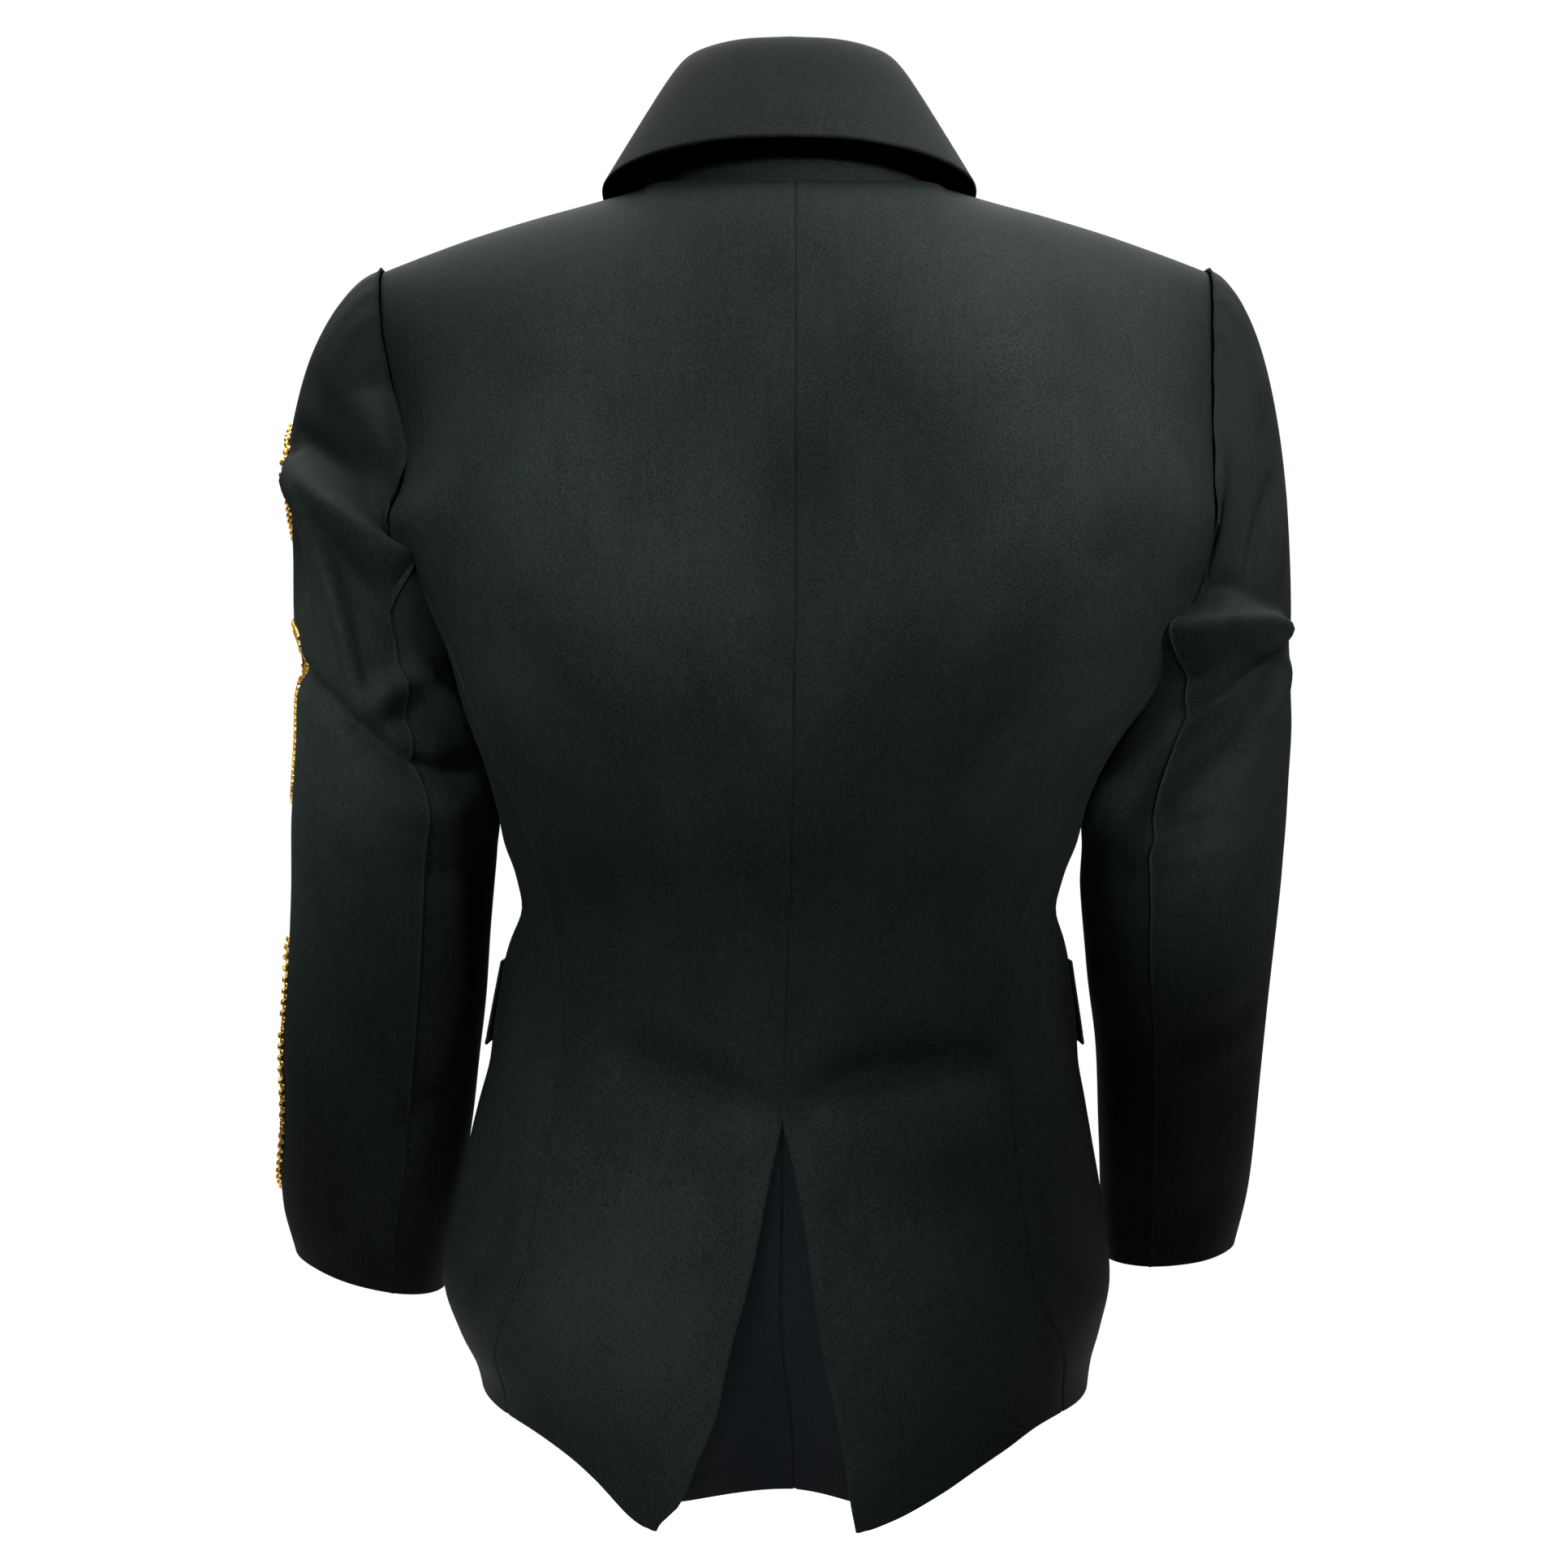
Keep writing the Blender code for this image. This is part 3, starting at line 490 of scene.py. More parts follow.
def surfaced(material, inputs):
    """The material with a shader that has these inputs, as values or sockets."""
    shader = node(material.node_tree, "ShaderNodeBsdfPrincipled", inputs)
    node(material.node_tree, "ShaderNodeOutputMaterial", {"Surface": shader.outputs["BSDF"]})
    return material


# Sizes of the weave's patterns, and the share of each in the grain and the shade
TWILL_PITCH_MM, YARN_MM, SLUB_MM, CLOUD_MM = 1.1, 1.3, 5.0, 70.0
YARN_SHARE, TWILL_SHARE, SLUB_SHARE, CLOUD_SHARE = 0.62, 0.16, 0.08, 0.18
# Bands of the wave texture are 0.31416 apart at scale 1
WAVE_PERIOD, TWILL_SLANT = 0.31416, math.radians(27)


def worsted_gabardine(name, dark, light):
    """Worsted gabardine, woven in a steep twill from hard spun yarn and pressed.

    To the eye it is matt and almost smooth, with a faint grain where the light grazes it and
    a soft lift of light along the folds from the nap. The real pitch of 0.4 mm is too fine
    to show, so the twill is drawn at 1.1 mm and its yarns at 1.3 mm. Slubs are thicker
    stretches of yarn, 5 mm across and 20 mm long, and clouds the uneven pressing.
    """
    material, tree = new_material(name)
    threads = node(tree, "ShaderNodeAttribute", attribute_name="threads").outputs["Vector"]
    slanted = node(tree, "ShaderNodeMapping", {"Vector": threads, "Rotation": (0, 0, TWILL_SLANT)})
    twill = node(tree, "ShaderNodeTexWave", {
        "Vector": slanted.outputs["Vector"], "Scale": WAVE_PERIOD / TWILL_PITCH_MM,
        "Distortion": 1.2, "Detail": 1.0, "Detail Scale": 2.0},
        wave_type="BANDS", bands_direction="X")
    yarn = node(tree, "ShaderNodeTexNoise", {
        "Vector": threads, "Scale": 1 / YARN_MM, "Detail": 3.0, "Roughness": 0.7})
    drawn_out = node(tree, "ShaderNodeMapping", {"Vector": threads, "Scale": (1.0, 0.25, 1.0)})
    slub = node(tree, "ShaderNodeTexNoise", {
        "Vector": drawn_out.outputs["Vector"], "Scale": 1 / SLUB_MM, "Detail": 2.0})
    cloud = node(tree, "ShaderNodeTexNoise", {
        "Vector": threads, "Scale": 1 / CLOUD_MM, "Detail": 2.0, "Roughness": 0.45})
    # Yarn, twill and slub add up to the grain, and the grain and the clouds to the shade
    sums = [0.0]
    for pattern, share in ((yarn, YARN_SHARE), (twill, TWILL_SHARE), (slub, SLUB_SHARE),
                           (cloud, CLOUD_SHARE)):
        sums.append(node(tree, "ShaderNodeMath", {
            0: pattern.outputs["Fac"], 1: share, 2: sums[-1]},
            operation="MULTIPLY_ADD").outputs[0])
    grain, shade = sums[-2:]
    depth = node(tree, "ShaderNodeMapRange", {"Value": shade, "From Min": 0.44, "From Max": 0.60})
    colour = node(tree, "ShaderNodeMix", {
        "Factor": depth.outputs["Result"], "A": linear(dark), "B": linear(light)},
        data_type="RGBA")
    rough = node(tree, "ShaderNodeMapRange", {
        "Value": grain, "From Min": 0.3, "From Max": 0.7, "To Min": 0.72, "To Max": 0.90})
    bump = node(tree, "ShaderNodeBump", {"Height": grain, "Strength": 0.55, "Distance": 0.0002})
    return surfaced(material, {
        "Base Color": colour.outputs["Result"], "Roughness": rough.outputs["Result"],
        "Normal": bump.outputs["Normal"], "Specular IOR Level": 0.08, "Sheen Weight": 0.012,
        "Sheen Roughness": 0.45, "Sheen Tint": linear("#8f9a94")})


gabardine = worsted_gabardine("worsted_gabardine_pressed", "#090f0e", "#202826")
# The vent's pressed edge shows as a groove beside it, up to the apex
VENT_GROOVE = (0, 4.0, 0.5, 0.9, 188)
for side, name in SIDES:
    back = cloth("back_cloth_" + name, back_surface(side), -side,
                 ("seam", "seam", "free", "seam"), v_end=2.0, grooves=(VENT_GROOVE,))
    back.data.materials.append(gabardine)
    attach(back, "root")
    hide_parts("back_" + name)


# Side bodies
# A narrow panel under each arm, from the side back seam to the front seam, whose top is the
# low half of the armhole. It is cut from the same cloth and shapes the waist.
ARMPIT_DROP, PANEL_WIDTH = 40, 80
# How broad the armhole's low half is, and how soon that and the wider gap fade below it
ARMPIT_BREADTH, ARMPIT_FADE, GAP_FADE = 0.8, 4, 8
SIDE_FOLDS = (
    (10, -268, 36, -292, 66, -300, -3.0, 11),
    (14, -318, 40, -330, 70, -326, 2.2, 10),
    (12, -352, 38, -362, 68, -352, -2.6, 10),
    (20, -420, 40, -440, 66, -430, -1.8, 14),
    (30, -480, 36, -530, 30, -590, 2.0, 14),
)


def side_surface(side):
    """Back seam (u 0) to front seam (u 1), hem (v 0) to the low half of the armhole (v 1)."""
    def surface(u, v):
        low = mix(NOMINAL_HEM, YOKE_Z, v)
        gap = gap_angle(low) * (1 + v ** GAP_FADE)
        start = angle_at(read(SEAMS, "back_seam", low), low) + gap
        end = np.pi - angle_at(read(SEAMS, "front_seam", low), low) - gap
        sewn = np.sin(np.pi * np.clip(u, 0, 1))
        dip = ARMPIT_DROP * np.maximum(sewn, 0) ** ARMPIT_BREADTH
        point = body_row(side, mix(start, end, u), low - dip * v ** ARMPIT_FADE)
        point[..., 0] += side * sewn * fold_height(SIDE_FOLDS, u * PANEL_WIDTH, point[..., 2])
        return point
    return surface


for side, name in SIDES:
    side_body = cloth("side_body_cloth_" + name, side_surface(side), -side,
                      ("seam", "seam", "free", "seam"))
    side_body.data.materials.append(gabardine)
    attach(side_body, "root")
    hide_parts("side_body_" + name)


# Fronts
# Each front runs from the side body to the middle, right over left at one button, with a
# rounded cutaway below it. The edge is faced, turned and pressed, and rolls back above it.
OVERLAP, BREAK_Z = 14, -330
# The left front steps in under the right one, beside the edge and below the lapels
UNDER_STEP, UNDER_REACH, UNDER_RAMP = 6.8, 62, 40
UNDER_TOP_Z, UNDER_FADE = -210, 50
CUTAWAY_Z, CUTAWAY, CUTAWAY_CURVE = -470, 92, 2.2
FRONT_FOLDS = {
    1: (
        (30, -344, 62, -334, 104, -316, 2.6, 9, 1.3),
        (30, -353, 64, -358, 108, -350, -2.4, 9),
        (36, -366, 66, -378, 100, -392, 1.8, 9),
        (154, -186, 130, -225, 96, -266, -3.0, 13),
        (120, -470, 108, -530, 98, -590, 2.2, 15),
        (150, -90, 158, -130, 150, -170, -1.8, 14),
    ),
    -1: (
        (22, -342, 60, -330, 102, -310, 2.8, 9, 1.3),
        (22, -352, 58, -356, 104, -346, -2.5, 9),
        (30, -364, 62, -380, 96, -396, 1.8, 9),
        (156, -182, 132, -222, 98, -262, -3.2, 13),
        (116, -460, 106, -525, 92, -585, 2.2, 15),
        (152, -86, 160, -128, 150, -168, -1.8, 14),
    ),
}


def front_edge(nominal):
    """Distance of the front edge from the centre line, below zero where it laps over."""
    low = np.clip((CUTAWAY_Z - nominal) / (CUTAWAY_Z - NOMINAL_HEM), 0, None)
    high = np.clip((nominal - BREAK_Z) / (NECK_Z - BREAK_Z), 0, None)
    return -OVERLAP + CUTAWAY * low ** CUTAWAY_CURVE + (NECK_X + OVERLAP) * high


def under_lap(side, x, z):
    """How far the left front steps in, so that it lies under the right one."""
    if side < 0:
        return 0.0
    near = np.clip((UNDER_REACH - x) / UNDER_RAMP, 0, 1)
    low = np.clip((UNDER_TOP_Z - z) / UNDER_FADE, 0, 1)
    return UNDER_STEP * near * near * (3 - 2 * near) * low


def front_yoke_angle(x, rise):
    """Angle on the front's yoke of a place x from the middle, at a part of its rise."""
    arm_x = mix(ARM_X["front"], TIP_X, rise)
    return np.arcsin(np.clip(x * math.sin(ARM_ANGLE["front"]) / arm_x, -1, 1))


def front_surface(side):
    """Front edge (u 0) to front seam and armhole (u 1), hem (v 0) to shoulder (v 2)."""
    def surface(u, v):
        nominal = mix(NOMINAL_HEM, YOKE_Z, np.minimum(v, 1))
        start = angle_at(front_edge(nominal), nominal)
        end = angle_at(read(SEAMS, "front_seam", nominal), nominal) - gap_angle(nominal)
        low_angle = mix(start, end, u)
        low = body_row(side, np.pi - low_angle, nominal)
        t = np.maximum(v - 1, 0) * YOKE_TOP
        rise = np.sin(t * np.pi / 2)
        top_start = front_yoke_angle(front_edge(mix(YOKE_Z, NECK_Z, rise)), rise)
        angle = mix(top_start, ARM_ANGLE["front"] - gap_angle(YOKE_Z), u)
        high = yoke_point(side, "front", angle, t)
        point = np.where((v <= 1)[..., None], low, high)
        low_x = read(GIRTHS, "half_width", nominal) * np.sin(low_angle)
        across = np.where(v <= 1, low_x, np.abs(high[..., 0]))
        point[..., 1] += under_lap(side, across, point[..., 2])
        point[..., 1] -= fold_height(FRONT_FOLDS[side], across, point[..., 2])
        return point
    return surface


for side, name in SIDES:
    front = cloth("front_cloth_" + name, front_surface(side), side,
                  ("free", "seam", "free", "seam"), v_end=2.0)
    front.data.materials.append(gabardine)
    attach(front, "root")
    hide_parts("front_" + name)


# Lapels
# The top of each front turns back along the roll line and lies on the chest. Its edge is
# turned, pressed flat and topstitched close in.
LAYER_GAP = 0.4
# How far the lapel's edge lies from the roll line, and how much lower
LAPEL = (("z", "depth", "drop"), (
    (-322, 7, 2),
    (-290, 24, 5),
    (-240, 42, 10),
    (-180, 57, 18),
    (-110, 67, 30),
    (-50, 70, 42),
    (-22, 66, 46),
))
# It starts behind the front's edge, and stands off the chest beside the roll, more so high up
LAPEL_SETBACK, LAPEL_ROLL, LAPEL_ROLL_LOW, LEFT_LAPEL_LIFT = 0.6, 3.0, 0.15, 0.6


def front_at(side, x, z):
    """A place on the front's outer face from its distance x and height z."""
    low = body_point(side, np.pi - angle_at(x, z), np.minimum(z, YOKE_Z))
    top_z = shoulder_line(x, "front")[0]
    rise = np.clip((z - YOKE_Z) / (top_z - YOKE_Z), 0, 1)
    t = np.arcsin(rise) * 2 / np.pi
    high = yoke_point(side, "front", front_yoke_angle(x, rise), t)
    return np.where((z <= YOKE_Z)[..., None], low, high)


def lapel_surface(side):
    """Roll line (u 0) to lapel edge (u 1), break (v 0) to gorge (v 1)."""
    low, high = LAPEL[1][0][0], LAPEL[1][-1][0]

    def surface(u, v):
        z, step = mix(low, high, v), 0.5
        x = front_edge(z) + LAPEL_SETBACK + read(LAPEL, "depth", z) * u
        place_z = z - read(LAPEL, "drop", z) * u
        point = front_at(side, x, place_z)
        across = front_at(side, x + step, place_z) - front_at(side, x - step, place_z)
        up = front_at(side, x, place_z + step) - front_at(side, x, place_z - step)
        normal = side * unit(np.cross(across, up))
        stand = CLOTH + LAYER_GAP + LAPEL_ROLL * (1 - u) ** 2 * mix(LAPEL_ROLL_LOW, 1.0, v)
        stand += LEFT_LAPEL_LIFT if side > 0 else 0.0
        point[..., 1] += under_lap(side, x, place_z)
        return point + normal * stand[..., None]
    return surface


# Topstitching, 5 mm from the edge: distance, depth, half width, and the whole height
TOPSTITCH = (5.0, 0.35, 0.8, 999)
ALL_FREE = ("free",) * 4
for side, name in SIDES:
    lapel = cloth("lapel_cloth_" + name, lapel_surface(side), side, ALL_FREE, step=3.5,
                  shell=2.0, grooves=((1, *TOPSTITCH),))
    lapel.data.materials.append(gabardine)
    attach(lapel, "root")
    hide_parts("lapel_" + name)


# Collar
# The stand is a curved band sewn into the neckline and edge stitched above the seam. The
# fall is sewn to its top, rolls over it and opens out, so that its edge stands clear of it.

# Half the collar, from the centre back (0) to the gorge (1), measured from the neck seam
COLLAR = (("along", "roll_out", "roll_up", "edge_out", "edge_up"), (
    (0.00, -10, 77, 15, 17.5),
    (0.14, -10.6, 76, 16, 16),
    (0.28, -12.2, 72.5, 17.5, 11.5),
    (0.40, -14, 68, 19, 7),
    (0.55, -17.5, 59, 22, 1.5),
    (0.68, -18.5, 51, 23, -1.5),
    (0.82, -14, 36, 26, 0),
    (1.00, -4, 12, 28, -6),
))
# Share of the seam behind the shoulder line, the gorge's place up the yoke, lean to the left
SIDE_NECK_ALONG, GORGE_T, COLLAR_LEAN = 0.62, 0.6, 2.5
# The stand's foot lies inside the neck seam, and its head inside and under the roll line
FOOT_IN, FOOT_DOWN, HEAD_IN, HEAD_DOWN, STAND_BOW = 0.4, 1.0, 1.92, 3.8, 1.5
FALL_IN, ROLL_BEND = 3.84, 6


def neck_seam(along):
    """The neck seam from the centre back to the gorge on the wearer's left."""
    angle = np.clip(along / SIDE_NECK_ALONG, 0, 1) * np.pi / 2
    behind = places(NECK_X * np.sin(angle), mix(NECK_Y, NAPE_Y, np.cos(angle)),
                    NECK_Z * np.sin(angle) ** 2)
    part = np.clip((along - SIDE_NECK_ALONG) / (1 - SIDE_NECK_ALONG), 0, 1)
    t = mix(1.0, GORGE_T, part)
    rise = np.sin(t * np.pi / 2)
    edge = front_edge(mix(YOKE_Z, NECK_Z, rise))
    ahead = yoke_point(1, "front", front_yoke_angle(edge, rise), t)
    return np.where((along <= SIDE_NECK_ALONG)[..., None], behind, ahead)


def half_collar(along):
    """Neck seam, roll line, fall edge and level outward way, on the wearer's left."""
    step = 0.02
    ahead = neck_seam(np.minimum(along + step, 1)) - neck_seam(np.maximum(along - step, 0))
    ahead = np.where((along < step)[..., None], np.array((1.0, 0, 0)), ahead)
    out = unit(places(-ahead[..., 1], ahead[..., 0], 0))
    seam = neck_seam(along)

    def off(outwards, upwards):
        return (seam + out * read(COLLAR, outwards, along)[..., None]
                + places(0, 0, read(COLLAR, upwards, along)))
    return seam, off("roll_out", "roll_up"), off("edge_out", "edge_up"), out


def collar_section(place):
    """The half collar's places at -1 to 1 round the neck, and the way up square to the roll."""
    along = np.minimum(np.abs(place), 1.0)
    mirror = places(np.where(place < 0, -1, 1), 1, 1)
    seam, roll, edge, out = [item * mirror for item in half_collar(along)]
    step = 0.03
    ahead = half_collar(np.minimum(along + step, 1))[1] - half_collar(
        np.maximum(along - step, 0))[1]
    ahead = np.where((along < step)[..., None], np.array((1.0, 0, 0)), ahead) * mirror
    up = unit(np.cross(out, ahead))
    up = np.where(up[..., 2:] < 0, -up, up)
    lean = np.array((COLLAR_LEAN, 0, 0))
    return seam, roll + lean, edge + lean, out, up


def stand_surface(u, v):
    """Collar stand: neck seam (v 0) to just under the roll line (v 1)."""
    seam, roll, _, out, up = collar_section(2 * u - 1)
    foot = seam - out * FOOT_IN - np.array((0, 0, FOOT_DOWN))
    head = roll - out * HEAD_IN - up * HEAD_DOWN
    bow = STAND_BOW * np.sin(np.pi * np.clip(v, 0, 1))
    return mix(foot, head, v[..., None]) - out * bow[..., None]


def fall_surface(u, v):
    """Collar fall: over the top of the stand (v 0), then down and out to its edge (v 1)."""
    _, roll, edge, out, _ = collar_section(2 * u - 1)
    return curve(roll - out * FALL_IN, roll + out * ROLL_BEND, edge, v[..., None])


# Two rows of stitching above the neck seam
STAND_STITCHES = ((2, 2.6, 0.5, 0.6, 999), (2, 5.2, 0.5, 0.6, 999))
stand = cloth("collar_stand_cloth", stand_surface, -1, ("free", "free", "seam", "free"),
              step=3.5, shell=2.0, grooves=STAND_STITCHES)
stand.data.materials.append(gabardine)
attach(stand, "root")
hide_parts("collar_stand")

fall = cloth("collar_fall_cloth", fall_surface, 1, ALL_FREE, step=3.5, shell=2.2)
fall.data.materials.append(gabardine)
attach(fall, "root")
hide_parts("collar_fall")


# Sleeves
# A two-piece sleeve: the wide upper sleeve and the narrow under sleeve are joined at a seam
# behind and one in front of the arm. The head is eased into the armhole over a light roll of
# wadding, and the elbow creases where the arm hangs forward.
SLEEVE_COLUMNS = ("z", "outer", "inner", "centre_y", "half_depth", "lift")
SLEEVES = {
    1: (SLEEVE_COLUMNS, (
        (-558, 269, 192, -36, 40, 12),
        (-530, 275, 187, -33, 42, 8),
        (-488, 274, 177, -26, 45, 3),
        (-433, 270, 169, -16, 48, 0),
        (-392, 265, 164, -8, 50, 0),
        (-350, 262, 160, -2, 53, 0),
        (-330, 261, 158, 0, 55, 0),
        (-310, 260, 156.5, 2, 56, 0),
        (-268, 257, 169, 2, 58, 0),
        (-240, 257, 177, 1, 59, 0),
    )),
    -1: (SLEEVE_COLUMNS, (
        (-548, 238, 171, -36, 38, 5),
        (-520, 244, 169, -33, 40, 4),
        (-488, 246, 167, -26, 43, 2),
        (-433, 248, 163, -16, 47, 0),
        (-392, 250, 157, -8, 50, 0),
        (-350, 253, 153, -2, 53, 0),
        (-330, 254, 153.5, 0, 55, 0),
        (-310, 255, 153.5, 2, 56, 0),
        (-268, 257, 168, 2, 58, 0),
        (-240, 256, 177, 1, 59, 0),
    )),
}
SLEEVE_TOP_Z, SLEEVE_SETBACK = -240, -0.2
# How far the head goes out at the shoulder and swells, how broad it is there, the part of it
# that has no folds, and how steeply it sets off and lands
HEAD_REACH, HEAD_SWELL = {1: 20, -1: 17}, {1: 24, -1: 4}
HEAD_BREADTH, HEAD_SMOOTH, HEAD_SINK = 0.7, 0.14, 4
ARMPIT_REACH, ARMPIT_RISE, TIP_RISE = 5, 14, 126
# The seams lie a third of the girth from the outer line, to the back and to the front
SLEEVE_SEAM, SLEEVE_GIRTH = 0.33, 310
# The ease in the head shows as low puckers, uneven in length, that fade towards the arm
PUCKER_MM, PUCKER_SWING, PUCKER_SWING_MM = 13, 1.5, 19
PUCKER_HEIGHT, PUCKER_FROM, PUCKER_REACH = 0.32, 0.06, 0.28
# Here a is the share of the girth from the outer line towards the back
SLEEVE_FOLDS = {
    1: (
        (0.30, -153, 0.21, -136, 0.11, -120, 6.0, 9, 1.8),
        (0.13, -138, 0.27, -174, 0.43, -218, -18.0, 12, 2.0),
        (0.20, -158, 0.27, -194, 0.37, -226, 3.6, 10),
        (0.05, -160, 0.08, -186, 0.09, -212, 10.0, 18),
        (0.00, -228, 0.04, -234, 0.09, -242, 2.4, 11),
        (0.13, -146, 0.21, -190, 0.255, -258, -7.8, 4.6),
        (0.09, -176, 0.14, -212, 0.19, -250, 2.8, 9, 1.4),
        (0.06, -230, 0.17, -250, 0.28, -272, 6.5, 9, 1.8),
        (0.25, -268, 0.34, -286, 0.45, -284, 7.8, 9, 1.9),
        (0.27, -262, 0.31, -250, 0.38, -240, -7.2, 6),
        (0.30, -262, 0.325, -265, 0.35, -268, 2.6, 6),
        (0.36, -242, 0.41, -258, 0.45, -274, -8.5, 9),
        (0.225, -106, 0.26, -124, 0.29, -136, -6.0, 6, 1.3),
        (0.10, -88, 0.15, -106, 0.22, -122, 2.0, 8),
        (0.26, -300, 0.34, -310, 0.44, -304, -3.4, 9),
        (0.10, -288, 0.20, -318, 0.30, -334, -2.2, 12),
        (0.28, -336, 0.36, -342, 0.44, -338, 2.0, 9),
        (0.28, -478, 0.36, -462, 0.43, -448, 2.6, 9, 1.2),
        (0.26, -500, 0.34, -488, 0.42, -480, -1.8, 10),
        (-0.05, -168, -0.15, -196, -0.26, -214, -7.2, 11, 1.4),
        (-0.04, -206, -0.16, -228, -0.28, -240, 5.5, 9, 1.4),
        (-0.06, -234, -0.18, -256, -0.30, -262, -6.5, 9, 1.4),
        (-0.08, -262, -0.20, -286, -0.32, -288, 5.2, 9),
        (-0.10, -300, -0.22, -316, -0.32, -312, -2.6, 9),
    ),
    -1: (
        (0.155, -146, 0.195, -168, 0.225, -192, 5.2, 6.5, 1.5),
        (0.12, -104, 0.15, -121, 0.16, -138, 2.4, 6.5),
        (0.10, -150, 0.13, -176, 0.16, -204, -2.4, 8),
        (0.14, -222, 0.24, -217, 0.38, -227, -17.0, 12, 1.9),
        (0.27, -218, 0.34, -230, 0.42, -244, -10.4, 15),
        (0.32, -200, 0.25, -200, 0.18, -212, 3.0, 6, 1.6),
        (0.09, -220, 0.22, -244, 0.33, -268, 7.8, 10, 1.6),
        (0.30, -241, 0.325, -244, 0.35, -246, 2.4, 5),
        (0.29, -256, 0.32, -259, 0.35, -261, 2.4, 5),
        (0.12, -240, 0.21, -270, 0.29, -302, -7.8, 10, 1.4),
        (0.38, -292, 0.42, -304, 0.47, -312, -7.8, 10),
        (0.34, -282, 0.365, -296, 0.37, -314, 3.4, 8),
        (0.24, -311, 0.275, -316, 0.32, -322, 3.8, 6, 1.5),
        (0.22, -325, 0.275, -330, 0.35, -336, -5.2, 6),
        (0.10, -290, 0.17, -320, 0.22, -350, 2.2, 11),
        (0.22, -352, 0.32, -360, 0.42, -356, 1.8, 9),
        (0.12, -404, 0.22, -420, 0.33, -428, 1.8, 9),
        (0.14, -420, 0.24, -436, 0.34, -442, -1.4, 9),
        (-0.05, -160, -0.15, -190, -0.26, -210, -7.2, 11, 1.4),
        (-0.04, -200, -0.16, -222, -0.28, -236, 5.5, 9, 1.4),
        (-0.06, -230, -0.18, -252, -0.30, -260, -6.5, 9, 1.4),
        (-0.08, -266, -0.20, -290, -0.32, -292, 5.2, 9),
        (-0.10, -306, -0.22, -320, -0.32, -316, -2.6, 9),
    ),
}


def armhole(side, around):
    """The armhole's edge, from the shoulder tip (0) round the back to the tip again (1)."""
    around = np.mod(around, 1.0)
    behind = yoke_point(side, "back", ARM_ANGLE["back"], 1 - around / SLEEVE_SEAM)
    under = side_surface(side)(
        np.clip((around - SLEEVE_SEAM) / (1 - 2 * SLEEVE_SEAM), 0, 1), np.ones_like(around))
    ahead = yoke_point(side, "front", ARM_ANGLE["front"], (around - 1 + SLEEVE_SEAM) / SLEEVE_SEAM)
    point = np.where((around <= SLEEVE_SEAM)[..., None], behind, under)
    return np.where((around >= 1 - SLEEVE_SEAM)[..., None], ahead, point)


def sleeve_ring(side, around, z):
    """A place on the sleeve's girth at z, around from the outer line over the back."""
    table = SLEEVES[side]
    outer, inner = read(table, "outer", z), read(table, "inner", z)
    angle = around * 2 * np.pi
    x = (outer + inner) / 2 + (outer - inner) / 2 * np.cos(angle)
    y = read(table, "centre_y", z) + read(table, "half_depth", z) * np.sin(angle)
    return places(side * x, y, z + read(table, "lift", z) * np.cos(angle))


def sleeve_head(side, around, part):
    """The sleeve head: out from the armhole and over into the first girth."""
    start = armhole(side, around) + np.array((side * SLEEVE_SETBACK, 0, 0))
    end = sleeve_ring(side, around, SLEEVE_TOP_Z)
    high = (1 + np.cos(around * 2 * np.pi)) / 2
    reach = ARMPIT_REACH + HEAD_REACH[side] * high ** HEAD_BREADTH
    leave = start + places(side * reach, 0, -HEAD_SINK * (1 + high / 2))
    swell = HEAD_SWELL[side] * high * high
    arrive = end + places(side * swell, 0, ARMPIT_RISE + TIP_RISE * high)
    part = part[..., None]
    rest = 1 - part
    return (start * rest ** 3 + leave * 3 * rest * rest * part
            + arrive * 3 * rest * part * part + end * part ** 3)


def smooth_sleeve(side, around, v):
    """The sleeve with no folds, from the armhole (v 0) over the head (v 1) to the cuff (2)."""
    bottom = min(row[0] for row in SLEEVES[side][1])
    head = sleeve_head(side, around, np.clip(v, 0, 1))
    tube = sleeve_ring(side, around, mix(SLEEVE_TOP_Z, bottom, np.maximum(v - 1, 0)))
    return np.where((v <= 1)[..., None], head, tube)


def sleeve_place(side, around, v):
    """The sleeve with its folds, its ease puckers and the slight unevenness of the cloth."""
    step = 0.002
    point = smooth_sleeve(side, around, v)
    along_u = smooth_sleeve(side, around + step, v) - smooth_sleeve(side, around - step, v)
    low, high = np.maximum(v - step, 0), v + step
    along_v = smooth_sleeve(side, around, high) - smooth_sleeve(side, around, low)
    outwards = side * unit(np.cross(along_u, along_v))
    folds = [tuple(value * SLEEVE_GIRTH if name.startswith("a_") else value
                   for name, value in zip(FOLD_COLUMNS, row)) for row in SLEEVE_FOLDS[side]]
    across = around * SLEEVE_GIRTH
    height = fold_height(folds, across, point[..., 2])
    height += undulation(across, point[..., 2], 3 + side)
    height *= np.clip(v / HEAD_SMOOTH, 0, 1)
    swing = PUCKER_SWING * np.sin(across / PUCKER_SWING_MM)
    pucker = PUCKER_HEIGHT * np.sin(2 * np.pi * across / PUCKER_MM + side + swing)
    pucker *= np.clip(v / PUCKER_FROM, 0, 1) * (v < 1)
    height += pucker * np.exp(-(v / PUCKER_REACH) ** 2)
    return point + outwards * height[..., None]


def sleeve_surface(side, first, last):
    """Between two seams (u 0 to 1), from the armhole (v 0) over the head (v 1) to the cuff."""
    inset = HALF_GAP / SLEEVE_GIRTH

    def surface(u, v):
        return sleeve_place(side, mix(first + inset, last - inset, u), v)
    return surface


